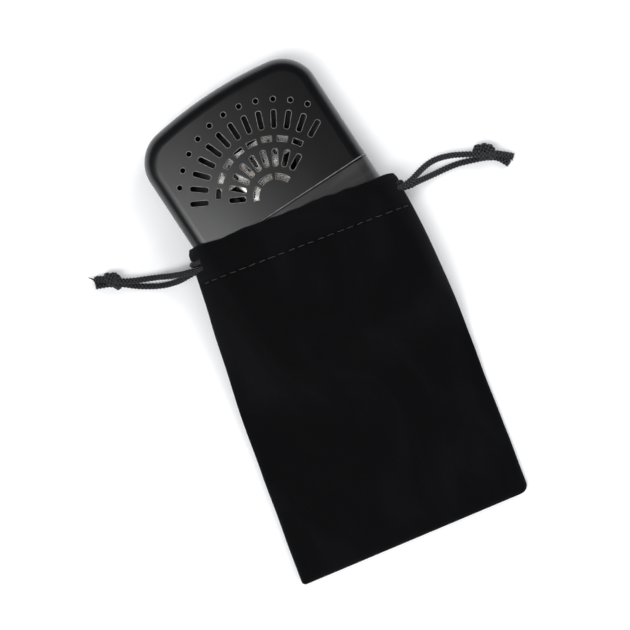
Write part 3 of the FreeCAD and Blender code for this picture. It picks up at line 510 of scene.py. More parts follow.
class Parts:
    """Points and faces gathered from several closed shapes into one mesh."""

    def __init__(self):
        self.points = []
        self.faces = []
        self.raised = []

    def add(self, points, faces, raised):
        """Add one closed shape, with how high each of its points stands."""
        first = len(self.points)
        self.points.extend(points)
        self.faces.extend([index + first for index in face] for face in faces)
        self.raised.extend(raised)

    def made(self, name, slot, nodes=(), body="pouch"):
        return new_piece(name, self.points, self.faces, slot, nodes, self.raised, body)


def grid_faces(rows, columns, looped=False):
    """Faces of a grid of rows whose columns go round and meet; looped joins the last row to the first."""
    faces = []
    for row in range(rows if looped else rows - 1):
        own, above = row * columns, (row + 1) % rows * columns
        for column in range(columns):
            beside = (column + 1) % columns
            faces.append((own + column, own + beside, above + beside, above + column))
    return faces


def travelled(path):
    """Distance along a path at each of its points."""
    steps = np.linalg.norm(np.diff(path, axis=0), axis=1)
    return np.concatenate([[0.0], np.cumsum(steps)])


def read_at(wanted, along, rows):
    """Points or directions read between rows that are known at places along a line."""
    return np.stack([np.interp(wanted, along, rows[:, axis]) for axis in range(3)], axis=1)


def resampled(path, count):
    """The same path with evenly spaced points."""
    along = travelled(path)
    return read_at(np.linspace(0, along[-1], count), along, path)


def unit(rows):
    """The same directions, one a row, each of length 1."""
    return rows / np.linalg.norm(rows, axis=1)[:, None]


def carried_frames(path):
    """Two directions across the path at each point, carried along it without twist."""
    tangents = unit(np.gradient(path, axis=0))
    across = np.cross(tangents[0], (0.0, 0.0, 1.0))
    if np.linalg.norm(across) < 0.1:
        across = np.cross(tangents[0], (0.0, 1.0, 0.0))
    firsts = []
    for tangent in tangents:
        across = across - tangent * (across @ tangent)
        across = across / np.linalg.norm(across)
        firsts.append(across)
    firsts = np.array(firsts)
    return firsts, np.cross(tangents, firsts)


def level_frames(path):
    """Two directions across the path at each point, the first of them level."""
    tangents = unit(np.gradient(path, axis=0))
    firsts = unit(np.cross(tangents, (0.0, 0.0, 1.0)))
    return firsts, np.cross(tangents, firsts)


def wrapped(path, frames, turn, reach):
    """Points in rings round a path, each ring at the same turns, at a reach off the path."""
    first, second = frames
    cosine, sine = np.cos(turn)[None, :, None], np.sin(turn)[None, :, None]
    outwards = first[:, None, :] * cosine + second[:, None, :] * sine
    return (path[:, None, :] + outwards * reach).reshape(-1, 3)


# Length of a tube's rounded end as a share of its radius, and the square of the share left at its tip.
END_ROUNDING = 0.35
END_FLAT = 0.16
# Depth of the grooves between yarns, as a share of a tube's radius, and the height that keeps that radius.
GROOVE_DEPTH = 0.46
GROOVE_MEAN = 0.6
# How high the middles of a tube's two flat ends count as standing.
END_RAISED = 0.5


def tube(path, radius, sides, relief=None, rounded=(True, True), frames=carried_frames):
    """Points, faces and heights of a closed tube along a path, its ends rounded or square.

    relief(turn, along) gives how high the surface stands, from 0 in a groove to 1 on a yarn.
    """
    along = travelled(path)
    radius = np.broadcast_to(radius, len(path))
    turn = np.arange(sides) * 2 * math.pi / sides
    raised = np.ones((len(path), sides))
    if relief:
        raised = relief(turn[None, :], along[:, None])
    height = 1 + GROOVE_DEPTH * (raised - GROOVE_MEAN)
    for is_round, from_end in zip(rounded, (along, along[-1] - along)):
        if is_round:
            nearness = np.clip(from_end / (radius * END_ROUNDING), 0, 1)
            height = height * np.sqrt(np.clip(1 - (1 - nearness) ** 2, END_FLAT, 1))[:, None]
    points = list(wrapped(path, frames(path), turn, (height * radius[:, None])[:, :, None]))
    faces = grid_faces(len(path), sides)
    start, end = len(points), len(points) + 1
    points.extend([path[0], path[-1]])
    last_row = (len(path) - 1) * sides
    for side in range(sides):
        beside = (side + 1) % sides
        faces.append((start, beside, side))
        faces.append((end, last_row + side, last_row + beside))
    return points, faces, [*raised.ravel(), END_RAISED, END_RAISED]


def spline_points(name, points):
    """The smooth line of a cord: a NURBS spline with these control points, read back from Blender."""
    curve = bpy.data.curves.new(name, "CURVE")
    curve.dimensions = "3D"
    curve.resolution_u = 32
    spline = curve.splines.new("NURBS")
    spline.points.add(len(points) - 1)
    for control, point in zip(spline.points, points):
        control.co = (*point, 1.0)
    spline.order_u = 3
    spline.use_endpoint_u = True
    holder = bpy.data.objects.new(name, curve)
    mesh = bpy.data.meshes.new_from_object(holder)
    line = np.array([vertex.co[:] for vertex in mesh.vertices])
    bpy.data.objects.remove(holder)
    bpy.data.meshes.remove(mesh)
    bpy.data.curves.remove(curve)
    return line


def ease(places, table):
    """A smooth curve through a few chosen pairs of place and value, at each of the places."""
    knots = np.array(table)
    order = np.argsort(knots[:, 0])
    across, values = knots[order, 0], knots[order, 1]
    index = np.clip(np.searchsorted(across, places) - 1, 0, len(across) - 2)
    share = np.clip((places - across[index]) / (across[index + 1] - across[index]), 0, 1)
    share = share * share * (3 - 2 * share)
    return values[index] + (values[index + 1] - values[index]) * share


def gentle(places, table, softness):
    """Straight runs through a few chosen pairs of place and value, their corners rounded over a length."""
    knots = np.array(sorted(table))
    shifts = np.linspace(-softness, softness, 9) / 2
    return np.mean([np.interp(places + shift, knots[:, 0], knots[:, 1]) for shift in shifts], axis=0)


# ---------------------------------------------------------------- the case's bared edges


# Radius of the lips round the vents.
LIP_RADIUS = 0.11 * MM
# How far a lip's middle lies over the top of its vent's straight wall.
LIP_LIFT = 0.15 * MM
# Radius of the turned edge at the cap's open end.
RIM_RADIUS = 0.18 * MM
# Shorter lines of edges than this are no vent's.
SHORTEST_LIP = 3.0 * MM
# The widest break in a line of edges that still counts as closed.
LOOP_GAP = 0.6 * MM
# Corners that are closer than this are one corner.
SAME_CORNER = 0.002 * MM


def edge_loops(node, is_edge):
    """Closed lines along those edges of a node for which is_edge(normal, other normal, middle) holds."""
    shape = bmesh.new()
    shape.from_mesh(frame["nodes"][node].data)
    bmesh.ops.remove_doubles(shape, verts=shape.verts, dist=SAME_CORNER)
    shape.edges.index_update()
    chosen = {}
    for edge in shape.edges:
        if len(edge.link_faces) == 2:
            normals = [face.normal for face in edge.link_faces]
            middle = (edge.verts[0].co + edge.verts[1].co) / 2
            if is_edge(*normals, middle) or is_edge(*reversed(normals), middle):
                chosen[edge.index] = edge
    loops = []
    while chosen:
        corners = list(chosen.pop(min(chosen)).verts)
        for _ in range(2):
            while corners[0] is not corners[-1]:
                edge = next((item for item in corners[-1].link_edges if item.index in chosen), None)
                if edge is None:
                    break
                corners.append(chosen.pop(edge.index).other_vert(corners[-1]))
            corners.reverse()
        line = np.array([corner.co[:] for corner in corners])
        if np.linalg.norm(line[0] - line[-1]) < LOOP_GAP and travelled(line)[-1] > SHORTEST_LIP:
            loops.append(np.concatenate([line, line[:1]]))
    shape.free()
    return loops


BEAD_SIDES = 8
BEAD_SPACING = 0.2 * MM
FEWEST_RINGS = 12
# A direction that none of the beads' lines runs along.
EDGE_LEAN = (0.0, 0.31, 1.0)


def bead(loop, radius):
    """A closed round bead along a closed line."""
    count = max(FEWEST_RINGS, int(travelled(loop)[-1] / BEAD_SPACING))
    path = resampled(loop, count + 1)[:-1]
    tangents = unit(np.roll(path, -1, axis=0) - np.roll(path, 1, axis=0))
    first = unit(np.cross(tangents, EDGE_LEAN))
    turn = np.arange(BEAD_SIDES) * 2 * math.pi / BEAD_SIDES
    points = wrapped(path, (first, np.cross(tangents, first)), turn, radius)
    return points, grid_faces(count, BEAD_SIDES, looped=True), np.ones(len(points))


# How far from the cap's open end its turned edge reaches, and from its front the vents' edges.
TURNED_DEPTH = 1 * MM
FRONT_DEPTH = 2 * MM


def by_front_vents(place):
    """Whether a place on the cap is in its front face, where the vents are."""
    within = CASE_LOW[1] + TURNED_DEPTH < place.y < VENTS_TOP and abs(place.x) < VENTS_HALF_WIDTH
    return within and place.z > CASE_TOP - FRONT_DEPTH


def rounded_edge(upper, lower, middle):
    """Whether the two faces meet along the middle of a vent's rounded edge."""
    return by_front_vents(middle) and 0.7 < upper.z < 0.9 and 0.35 < lower.z < 0.7


def wall_edge(upper, wall, middle):
    """Whether the two faces meet where a vent's rounding runs into its upright wall."""
    return by_front_vents(middle) and upper.z > 0.05 and abs(wall.z) < 0.02


def turned_edge(end, skin, middle):
    """Whether the two faces meet along the rounded edge of the cap's open end."""
    return -0.93 < end.y < -0.5 < skin.y < -0.1 and middle.y < CASE_LOW[1] + TURNED_DEPTH


def middle_of(points):
    """The middle of the box that the points fill."""
    return (points.min(axis=0) + points.max(axis=0)) / 2


# Lines whose middles are closer than this go round the same vent.
SAME_VENT = 1 * MM


def vent_lips():
    """Each vent's lip: along the middle of its rounded edge or, where that isn't clear, over its wall."""
    rounds = edge_loops("cap_shell", rounded_edge)
    found = [middle_of(loop) for loop in rounds]
    lips = list(rounds)
    for wall in edge_loops("cap_shell", wall_edge):
        if min(np.linalg.norm(middle_of(wall) - place) for place in found) > SAME_VENT:
            lips.append(wall + (0.0, 0.0, LIP_LIFT))
    return lips


def bared_edges():
    """The lips that the punch left round the cap's vents, and the turned edge of the cap's open end."""
    widest = max(edge_loops("cap_shell", turned_edge), key=lambda loop: np.ptp(loop[:, 0]))
    made_of = {"cap_vent_lips": (vent_lips(), LIP_RADIUS), "cap_turned_edge": ([widest], RIM_RADIUS)}
    for name, (loops, radius) in made_of.items():
        parts = Parts()
        for loop in loops:
            parts.add(*bead(loop, radius))
        piece = parts.made(name, "black_satin", body="cap")
        # The beads' grey is partly worn lacquer and partly painted highlight.
        piece.data.materials[0] = material("rolled_edge")


# ---------------------------------------------------------------- the pouch


def warmer_place(across, along):
    """Places given across and along the pouch, as x and y in the frame."""
    cosine, sine = math.cos(POUCH_TURN), math.sin(POUCH_TURN)
    return across * cosine + along * sine, along * cosine - across * sine


def to_frame(across, along, height):
    """Points given across and along the pouch, in the frame."""
    return np.stack([*warmer_place(across, along), height], axis=-1)


# The pouch's outline as it lies, as pairs of place along it and place across it.
LEFT_EDGE = [(50.2 * MM, -48.3 * MM), (36 * MM, -48.6 * MM), (17 * MM, -50.3 * MM), (-17 * MM, -52.2 * MM),
             (-73 * MM, -53.0 * MM)]
RIGHT_EDGE = [(50.2 * MM, 28.9 * MM), (43.5 * MM, 29.9 * MM), (37 * MM, 30.8 * MM), (24 * MM, 31.9 * MM),
              (3.7 * MM, 33.4 * MM), (-23 * MM, 33.6 * MM), (-73 * MM, 33.9 * MM)]
EDGE_SOFTNESS = 16.0 * MM
# Height of the two side seams over the ground, by place along the pouch.
LEFT_SEAM = [(50 * MM, 10.3 * MM), (36 * MM, 9.6 * MM), (12 * MM, 5.6 * MM), (-12 * MM, 3.2 * MM),
             (-32 * MM, 1.7 * MM), (-73 * MM, 1.6 * MM)]
RIGHT_SEAM = [(50 * MM, 10.3 * MM), (20 * MM, 9.4 * MM), (2 * MM, 8.0 * MM), (-14 * MM, 3.6 * MM),
              (-32 * MM, 1.7 * MM), (-73 * MM, 1.6 * MM)]
# Thickness of the hem, which is full where the cords lie and drawn in by its stitches.
HEM_SWELL = [(35.4 * MM, 1.0 * MM), (36.6 * MM, 1.2 * MM), (37.7 * MM, 0.72 * MM), (40.4 * MM, 2.4 * MM),
             (44.4 * MM, 3.1 * MM), (47.6 * MM, 2.9 * MM), (50.2 * MM, 1.9 * MM)]
# How far the bottom seam is out of square, about which place across, and how far up the cloth shows it.
BOTTOM_SKEW = 0.032
POUCH_CENTRE = -10.2 * MM
SKEW_LENGTH = 45.0 * MM
# Place of the hem's stitches along the pouch.
STITCH_LINE = 37.7 * MM
# Radius of the warmer's corners under the cloth, and how far its front falls from its middle to its sides.
BASE_CORNER = 12.0 * MM
CROWN_RISE = 1.2 * MM
# How far inside the warmer's outline the cloth starts to come down, and its hollow where it lies flat.
RIM_REACH = 4.0 * MM
FLAT_HOLLOW = 1.5 * MM
CLOTH_CLEARANCE = 0.15 * MM
# Radii of the pouch's corners: at the bottom, and at the mouth on the left and on the right.
BOTTOM_CORNER = 3.2 * MM
MOUTH_CORNERS = (2.4 * MM, 2.2 * MM)
EDGE_WANDER = 0.3 * MM
# Points of half a section of the pouch, and points from which they are evened out.
HALF_RING = 84
SECTION_POINTS = 420


def wander(along, row):
    """A slow uneven drift from -1 to 1 along the pouch, different for each row."""
    return np.array([noise.noise((0.0, place / (17 * MM), row)) for place in along])


def corner_cut(from_end, radius):
    """How far a corner's round has drawn a side edge in, by distance from the end of the cloth."""
    rise = np.clip(1 - from_end / radius, 0, 1)
    return radius * (1 - np.sqrt(1 - rise ** 2))


def pouch_bottom():
    """Place of the bottom seam along the pouch."""
    return pouch().mouth_place - pouch().length


def edge_places(along):
    """Left and right edge of the pouch at places along it, slightly uneven, with rounded corners."""
    from_bottom, from_mouth = along - pouch_bottom(), pouch().mouth_place - along
    left = gentle(along, LEFT_EDGE, EDGE_SOFTNESS) + EDGE_WANDER * wander(along, 3.1)
    right = gentle(along, RIGHT_EDGE, EDGE_SOFTNESS) + EDGE_WANDER * wander(along, 8.6)
    left = left + corner_cut(from_bottom, BOTTOM_CORNER / 2) + corner_cut(from_mouth, MOUTH_CORNERS[0])
    right = right - corner_cut(from_bottom, BOTTOM_CORNER) - corner_cut(from_mouth, MOUTH_CORNERS[1])
    return left, right


# How steeply the cloth comes down: the power of its slope's share.
FALL_POWER = 1.6


def lining_height(across, along):
    """Height of the inside of the front cloth: over the warmer, and sagging beside it and below it."""
    x, y = warmer_place(across, along)
    beyond_side = np.abs(x) - (CASE_HALF_WIDTH - BASE_CORNER)
    beyond_base = BASE_CORNER - y
    outside = np.hypot(np.maximum(beyond_side, 0), np.maximum(beyond_base, 0)) - BASE_CORNER
    crown = CROWN_RISE * np.clip(np.abs(x) / CASE_HALF_WIDTH, 0, 1) ** 2
    roof = CASE_TOP + CLOTH_CLEARANCE - crown
    flat = pouch().fabric + FLAT_HOLLOW
    share = np.clip((outside + RIM_REACH) / (pouch().slope_length + RIM_REACH), 0, 1)
    fall = 1 - share ** FALL_POWER * (3 - 2 * share)
    return flat + (roof - flat) * np.clip(fall, 0, 1), outside


# The cloth's broad and narrow folds: their share, their size across and along, and their row of the noise.
FOLDS = ((1.0, 15 * MM, 30 * MM, 0.7), (0.5, 7 * MM, 13 * MM, 5.3))
# Depth of the folds over the warmer, what it gains where the cloth hangs free, and over what distance.
HELD_DEPTH = 0.22 * MM
FREE_DEPTH = 0.75 * MM
FREE_REACH = 8 * MM
# How much further the folds stand out than they sink in.
FOLDS_OUT = 0.35


def ruffle(across, along, outside):
    """Low folds of the front cloth, stronger where nothing holds it up."""
    free = np.clip(outside / FREE_REACH, 0, 1)
    folds = np.zeros(len(across))
    for share, width, length, row in FOLDS:
        heights = [noise.noise((x / width, y / length, row)) for x, y in zip(across, along)]
        folds += share * np.array(heights)
    return (HELD_DEPTH + FREE_DEPTH * free) * (folds + FOLDS_OUT)


def cloth_thickness(along):
    return ease(np.atleast_1d(along), HEM_SWELL)[0]


# Where the hem holds the cloth's folds down: from this place, over this length, and by this share.
HEM_HOLD = (37 * MM, 6 * MM, 0.6)
# The seams' rounding: its least reach, and its shares of the height of the front and of the back.
SEAM_REACH = 1.9 * MM
SEAM_SHARES = (0.55, 0.62)


def section_at(along, inside):
    """The pouch's section at a place along it: over the front from the left seam, and back on the ground.

    inside is 0 for the outside of the cloth and 1 for its inside.
    """
    cloth = cloth_thickness(along)
    left, right = (float(edge[0]) for edge in edge_places(np.array([along])))
    left += inside * cloth
    right -= inside * cloth
    bottom = pouch_bottom() + inside * cloth
    across = left + (right - left) * (1 - np.cos(np.linspace(0, math.pi, SECTION_POINTS))) / 2
    places = np.full(SECTION_POINTS, along)
    height, outside = lining_height(across, places)
    height = height + (1 - inside) * cloth
    hold_from, hold_length, hold = HEM_HOLD
    in_hem = np.clip((along - hold_from) / hold_length, 0, 1)
    height = height + ruffle(across, places, outside) * (1 - hold * in_hem) * (1 - 0.5 * inside)
    share = (across - left) / (right - left)
    left_seam, right_seam = (ease(np.array([along]), table)[0] for table in (LEFT_SEAM, RIGHT_SEAM))
    seam = left_seam * (1 - share) + right_seam * share
    halves = []
    edge_distance = np.minimum(across - left, right - across)
    for level, reach_share in zip((height, np.full(SECTION_POINTS, inside * cloth)), SEAM_SHARES):
        reach = SEAM_REACH + reach_share * np.abs(level - seam) - inside * 0.5 * cloth
        nearness = np.minimum(edge_distance / reach, (along - bottom) / reach)
        swell = np.sqrt(np.clip(1 - (1 - np.clip(nearness, 0, 1)) ** 2, 0, 1))
        halves.append(np.stack([across, places, seam + (level - seam) * swell], axis=1))
    front = resampled(halves[0], HALF_RING + 1)[:-1]
    back = resampled(halves[1][::-1], HALF_RING + 1)[:-1]
    return np.concatenate([front, back])


# The places along the pouch between which its sections lie close together for the stitches.
BY_STITCHES = (36.8 * MM, 41.0 * MM)
# How many sections lie in the bottom's corners, up the body, by the stitches and in the hem.
SECTION_COUNTS = (7, 84, 12, 23)


def stations(bottom, top):
    """Places along the pouch: close together at the bottom seam and at the stitches."""
    in_corners, in_body, by_stitches, in_hem = SECTION_COUNTS
    near_bottom = bottom + BOTTOM_CORNER * (1 - np.cos(np.linspace(0, math.pi / 2, in_corners)))
    body = np.linspace(near_bottom[-1], BY_STITCHES[0], in_body)
    stitches = np.linspace(*BY_STITCHES, by_stitches)
    hem = np.linspace(BY_STITCHES[1], top, in_hem)
    return np.concatenate([near_bottom[:-1], body[:-1], stitches[:-1], hem])


# The mouth's long and short waves: their height, their size across and upward, and their row of the noise.
MOUTH_WAVES = ((1.1 * MM, 16 * MM, 30 * MM, 2.4), (0.75 * MM, 4.2 * MM, 9 * MM, 7.1))
# Where along the pouch the waves begin, and the length over which they grow to their full height.
WAVES_FROM = 40 * MM
WAVES_GROW = 10 * MM


def mouth_wave(points):
    """The mouth's edge wanders a little along the pouch."""
    share = np.clip((points[:, 1] - WAVES_FROM) / WAVES_GROW, 0, 1)
    for height, width, depth, row in MOUTH_WAVES:
        wave = np.array([noise.noise((x / width, row, z / depth)) for x, _, z in points])
        points[:, 1] += height * wave * share ** 3
    return points


# The gaps in the hem's outer cloth at the two side seams, where a cord comes out and the other one passes.
# Each has its lower and upper place along the pouch and its reach from the seam round the hem.
LEFT_GAP = (41.7 * MM, 46.5 * MM, 7.2 * MM)
RIGHT_GAP = (43.5 * MM, 46.9 * MM, 3.0 * MM)
# Lengths over which a gap opens, round the hem and along the pouch, and its depth as a share of the cloth.
GAP_SOFTNESS = 2.2 * MM
GAP_LIP = 0.7 * MM
GAP_DEPTH = 0.64


def gap_openness(section, along):
    """How far the hem's outer cloth gives way at each point of a section: 0 is whole and 1 is open."""
    lengths = travelled(np.concatenate([section, section[:1]]))
    around, total = lengths[:-1], lengths[-1]
    right_seam = around[HALF_RING]
    from_left = np.minimum(around, total - around)
    from_right = np.abs(around - right_seam)
    openness = np.zeros(len(section))
    for from_seam, (low, high, reach) in ((from_left, LEFT_GAP), (from_right, RIGHT_GAP)):
        beside = np.clip((reach - from_seam) / GAP_SOFTNESS, 0, 1)
        within = np.clip(min(along - low, high - along) / GAP_LIP, 0, 1)
        openness = np.maximum(openness, beside * within)
    return openness * openness * (3 - 2 * openness)


def hem_outside(along):
    """The pouch's outside section, let in at the cords' gaps."""
    whole = section_at(along, 0)
    lining = section_at(along, 1)
    openness = GAP_DEPTH * gap_openness(whole, along)[:, None]
    return whole + (lining - whole) * openness


# Points round the fold at the mouth, and its height as a share of half the cloth's thickness.
FOLD_POINTS = 7
FOLD_HEIGHT = 1.15


def pouch_rows():
    """Every section of the cloth, from the bottom up its outside, over the mouth and down its inside."""
    bottom = pouch_bottom()
    fold = cloth_thickness(pouch().mouth_place) / 2
    top = pouch().mouth_place - fold
    outside = [mouth_wave(hem_outside(along)) for along in stations(bottom, top)]
    inside = [mouth_wave(section_at(along, 1)) for along in stations(bottom + pouch().fabric, top)[::-1]]
    middle = (outside[-1] + inside[0]) / 2
    half = (outside[-1] - inside[0]) / 2
    over = []
    for angle in np.linspace(0, math.pi, FOLD_POINTS)[1:-1]:
        row = middle + half * math.cos(angle)
        row[:, 1] += fold * math.sin(angle) * FOLD_HEIGHT
        over.append(row)
    return outside + over + inside


def askew(local):
    """Points of the pouch with its bottom seam sewn a little out of square."""
    near = np.clip(1 - (local[:, 1] - pouch_bottom()) / SKEW_LENGTH, 0, 1)
    moved = np.array(local)
    moved[:, 1] += BOTTOM_SKEW * (local[:, 0] - POUCH_CENTRE) * near * near * (3 - 2 * near)
    return moved


def velvet_pouch():
    """The pouch in one piece: outside, folded hem and inside."""
    rows = pouch_rows()
    local = askew(np.concatenate(rows))
    points = to_frame(local[:, 0], local[:, 1], local[:, 2])
    faces = grid_faces(len(rows), 2 * HALF_RING)
    nodes = ("pouch_front_panel", "pouch_back_panel", "hem_front", "hem_back")
    piece = new_piece("velvet_pouch", points, faces, "velvet", nodes)
    shape = bmesh.new()
    shape.from_mesh(piece.data)
    bmesh.ops.remove_doubles(shape, verts=shape.verts, dist=0.02 * MM)
    bmesh.ops.recalc_face_normals(shape, faces=shape.faces)
    shape.to_mesh(piece.data)
    shape.free()
    piece.data.shade_smooth()
    return piece


# How far inside the pouch's edge the spare cloth is sewn, how wide it is, and how uneven its cut side.
ALLOWANCE_SETBACK = 2.6 * MM
ALLOWANCE_WIDTH = 3.6 * MM
RAGGEDNESS = 0.35 * MM
RAG_LENGTH = 2.2 * MM
# Space between the spare cloth of the sides and that of the bottom, and the upper end of the sides' strips.
ALLOWANCE_GAP = 0.5 * MM
ALLOWANCE_TOP = -30.0 * MM
ALLOWANCE_POINTS = 60
# How far a strip stays inside its solid, below and above, and how much its middle swells.
STRIP_MARGINS = (0.15 * MM, 0.2 * MM)
STRIP_SWELL = 0.1 * MM


def cloth_strip(name, seam_side, cut_side):
    """A flat strip of spare cloth between its sewn side and its uneven cut side, in place of a node."""
    low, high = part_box(name)[0][2] + STRIP_MARGINS[0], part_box(name)[1][2] - STRIP_MARGINS[1]
    sewn, middle, cut = (askew(side) for side in (seam_side, (seam_side + cut_side) / 2, cut_side))
    corners = [(sewn, low), (cut, low), (cut, high), (middle, high + STRIP_SWELL), (sewn, high)]
    lines = [to_frame(side[:, 0], side[:, 1], np.full(len(side), level)) for side, level in corners]
    rows = np.stack(lines, axis=1)
    count = len(corners)
    faces = grid_faces(len(rows), count)
    faces.append(list(range(count)))
    faces.append(list(range((len(rows) - 1) * count, len(rows) * count))[::-1])
    return new_piece(f"{name}_cloth", rows.reshape(-1, 3), faces, "velvet", (name,))


def seam_allowances():
    """The spare cloth inside the two side seams and the bottom seam."""
    bottom = pouch_bottom() + ALLOWANCE_SETBACK
    along = np.linspace(bottom, ALLOWANCE_TOP, ALLOWANCE_POINTS)
    left, right = edge_places(along)
    ragged = RAGGEDNESS * np.array([noise.noise((0.0, place / RAG_LENGTH, 4.0)) for place in along])
    for name, edge, inwards in (("seam_allowance_left", left, 1), ("seam_allowance_right", right, -1)):
        sewn = np.stack([edge + inwards * ALLOWANCE_SETBACK, along], axis=1)
        cut = np.stack([edge + inwards * (ALLOWANCE_SETBACK + ALLOWANCE_WIDTH) + ragged, along], axis=1)
        cloth_strip(name, sewn, cut)
    spare = ALLOWANCE_SETBACK + ALLOWANCE_WIDTH + ALLOWANCE_GAP
    across = np.linspace(left[0] + spare, right[0] - spare, ALLOWANCE_POINTS)
    sewn = np.stack([across, np.full(ALLOWANCE_POINTS, bottom)], axis=1)
    cut = np.stack([across, bottom + ALLOWANCE_WIDTH + ragged], axis=1)
    cloth_strip("seam_allowance_bottom", sewn, cut)


# ---------------------------------------------------------------- the thread


# Length at each end of a row that has no stitches, on the front and on the back.
FRONT_MARGIN = 2.2 * MM
BACK_MARGIN = 14.0 * MM
THREAD_RADIUS = 0.12 * MM
STITCH_POINTS = 15
# In millimetres: how high a stitch arches, how deep its ends are sunk, and how far it may be out of step.
STITCH_ARCH = 0.16
STITCH_SINK = 0.10
STITCH_SHIFT = 0.2
# How far a stitch's ends may lie askew, and the least and greatest share of the set length it may have.
STITCH_SKEW = 0.12 * MM
STITCH_SHARES = (0.78, 1.1)


def stitches_on(front):
    """A row of stitches along the hem line, each a short arched thread with its ends sunk in the velvet."""
    parts = Parts()
    chance = random.Random(7 if front else 8)
    section = section_at(STITCH_LINE, 0)
    side = section[:HALF_RING + 1] if front else section[HALF_RING:]
    lengths = travelled(side)
    outwards = unit(np.gradient(side, axis=0)[:, [2, 1, 0]] * np.array([-1.0, 0.0, 1.0]))
    margin = FRONT_MARGIN if front else BACK_MARGIN
    count = int((lengths[-1] - 2 * margin) / pouch().stitch_pitch)
    first = (lengths[-1] - (count - 1) * pouch().stitch_pitch) / 2
    for number in range(count):
        middle = first + number * pouch().stitch_pitch + chance.uniform(-STITCH_SHIFT, STITCH_SHIFT) * MM
        reach = (pouch().stitch_length / 2) * chance.uniform(*STITCH_SHARES)
        share = np.linspace(-1, 1, STITCH_POINTS)
        line = read_at(middle + share * reach, lengths, side)
        lift = (STITCH_ARCH * (1 - share ** 4) - STITCH_SINK) * MM
        line += lift[:, None] * read_at(middle + share * reach, lengths, outwards)
        line[:, 1] += STITCH_SKEW * share * chance.uniform(-1, 1)
        path = to_frame(line[:, 0], line[:, 1], line[:, 2])
        parts.add(*tube(path, THREAD_RADIUS, 8, twisted_ply))
    face = "front" if front else "back"
    return parts.made(f"hem_thread_{face}", "thread", (f"hem_stitches_{face}",))


PLY_TWIST = 1.1 * MM


def twisted_ply(turn, along):
    """Two plies twisted together."""
    return np.abs(np.cos(turn - along * 2 * math.pi / PLY_TWIST))


# ---------------------------------------------------------------- the drawcords


# Where each strand goes once it has left the gap in its seam, as points in millimetres: down to the ground,
# through the knot and on as a tail.
ROUTES = {
    "left_upper": [
        (-41.5, 53.6, 10.6), (-43.8, 54.6, 8.2), (-47.1, 56.3, 5.6), (-50.9, 58.4, 4.0), (-54.8, 60.2, 3.6),
        (-58.0, 61.7, 4.0), (-60.8, 63.2, 4.6), (-63.7, 65.6, 4.8), (-66.5, 68.2, 3.2), (-69.5, 69.6, 1.5),
    ],
    "left_lower": [
        (-41.9, 52.5, 7.2), (-44.2, 52.7, 5.2), (-46.7, 53.4, 3.0), (-49.6, 54.4, 1.5), (-52.8, 56.0, 1.1),
        (-56.4, 58.3, 1.1), (-59.2, 60.4, 1.2), (-61.8, 62.8, 1.3), (-65.4, 65.2, 1.3), (-67.8, 66.6, 1.3),
        (-70.4, 67.8, 1.3),
    ],
    "right_upper": [
        (41.6, 37.3, 11.4), (44.4, 37.9, 10.4), (47.8, 38.8, 8.6), (51.7, 39.3, 6.6), (55.6, 38.7, 5.0),
        (59.7, 37.2, 4.1), (63.4, 35.1, 3.9), (66.9, 32.8, 4.5), (70.6, 30.7, 4.4), (73.7, 28.9, 3.4),
        (75.6, 27.1, 2.2), (77.7, 25.0, 1.4),
    ],
    "right_lower": [
        (40.8, 36.1, 8.8), (43.6, 36.1, 7.2), (47.3, 35.6, 4.6), (51.0, 35.1, 2.2), (55.7, 34.5, 1.2),
        (60.2, 33.6, 1.1), (64.3, 32.1, 1.2), (69.0, 30.3, 1.2), (72.3, 28.3, 1.3), (73.4, 27.1, 1.4),
        (74.4, 25.6, 1.4), (75.3, 23.8, 1.4),
    ],
}
GAP_HEIGHTS = {"upper": 12.6 * MM, "lower": 8.0 * MM}
# Place across and along the pouch at which each cord's ends meet its strands.
CORD_PLACES = {"left": (-47.75 * MM, 42.95 * MM), "right": (29.35 * MM, 44.45 * MM)}


def strand_line(side, level):
    """A strand's smooth line, from where it leaves the hem to the end of its tail."""
    route = [tuple(number * MM for number in point) for point in ROUTES[f"{side}_{level}"]]
    return spline_points(f"{side}_{level}_route", [gap_point(side, level), *route])


def gap_point(side, level):
    """Where a strand comes into sight, in the gap of its side seam."""
    across, along = CORD_PLACES[side]
    return tuple(to_frame(across, along, GAP_HEIGHTS[level]))


# Width of a yarn, as a share of the distance to the next one wound the same way.
YARN_WIDTH = 0.6
# How far a yarn dips where it passes under another, as a share of its height.
YARN_DIP = 0.7


def braid(turn, along):
    """A round plaited cord: yarns wound both ways, which pass over and under each other."""
    wound = cords().yarns * turn / (2 * math.pi)
    ways = (along / cords().plait + wound, along / cords().plait - wound)
    heights = []
    for own, crossed, sign in ((ways[0], ways[1], 1), (ways[1], ways[0], -1)):
        nearest = np.round(own)
        profile = np.sqrt(np.clip(1 - (2 * np.abs(own - nearest) / YARN_WIDTH) ** 2, 0, 1))
        over = sign * np.cos(math.pi * crossed) * np.where(nearest % 2 < 1, 1, -1)
        heights.append(profile * (1 - YARN_DIP / 2 + YARN_DIP / 2 * over))
    return np.maximum(*heights)


# How much thicker a cord's cut end is, as a share, and over what length it loosens.
TAIL_FLARE = 0.28
TAIL_LENGTH = 5.0 * MM


def cord_tube(line, diameter, spacing=0.11 * MM, sides=36, rounded=(True, True), flare=0.0,
              frames=carried_frames):
    """A braided tube along a line, thicker at its far end by a share."""
    path = resampled(line, int(travelled(line)[-1] / spacing))
    nearness = np.clip((travelled(path) - travelled(path)[-1]) / TAIL_LENGTH + 1, 0, 1)
    return tube(path, diameter / 2 * (1 + flare * nearness), sides, braid, rounded, frames)


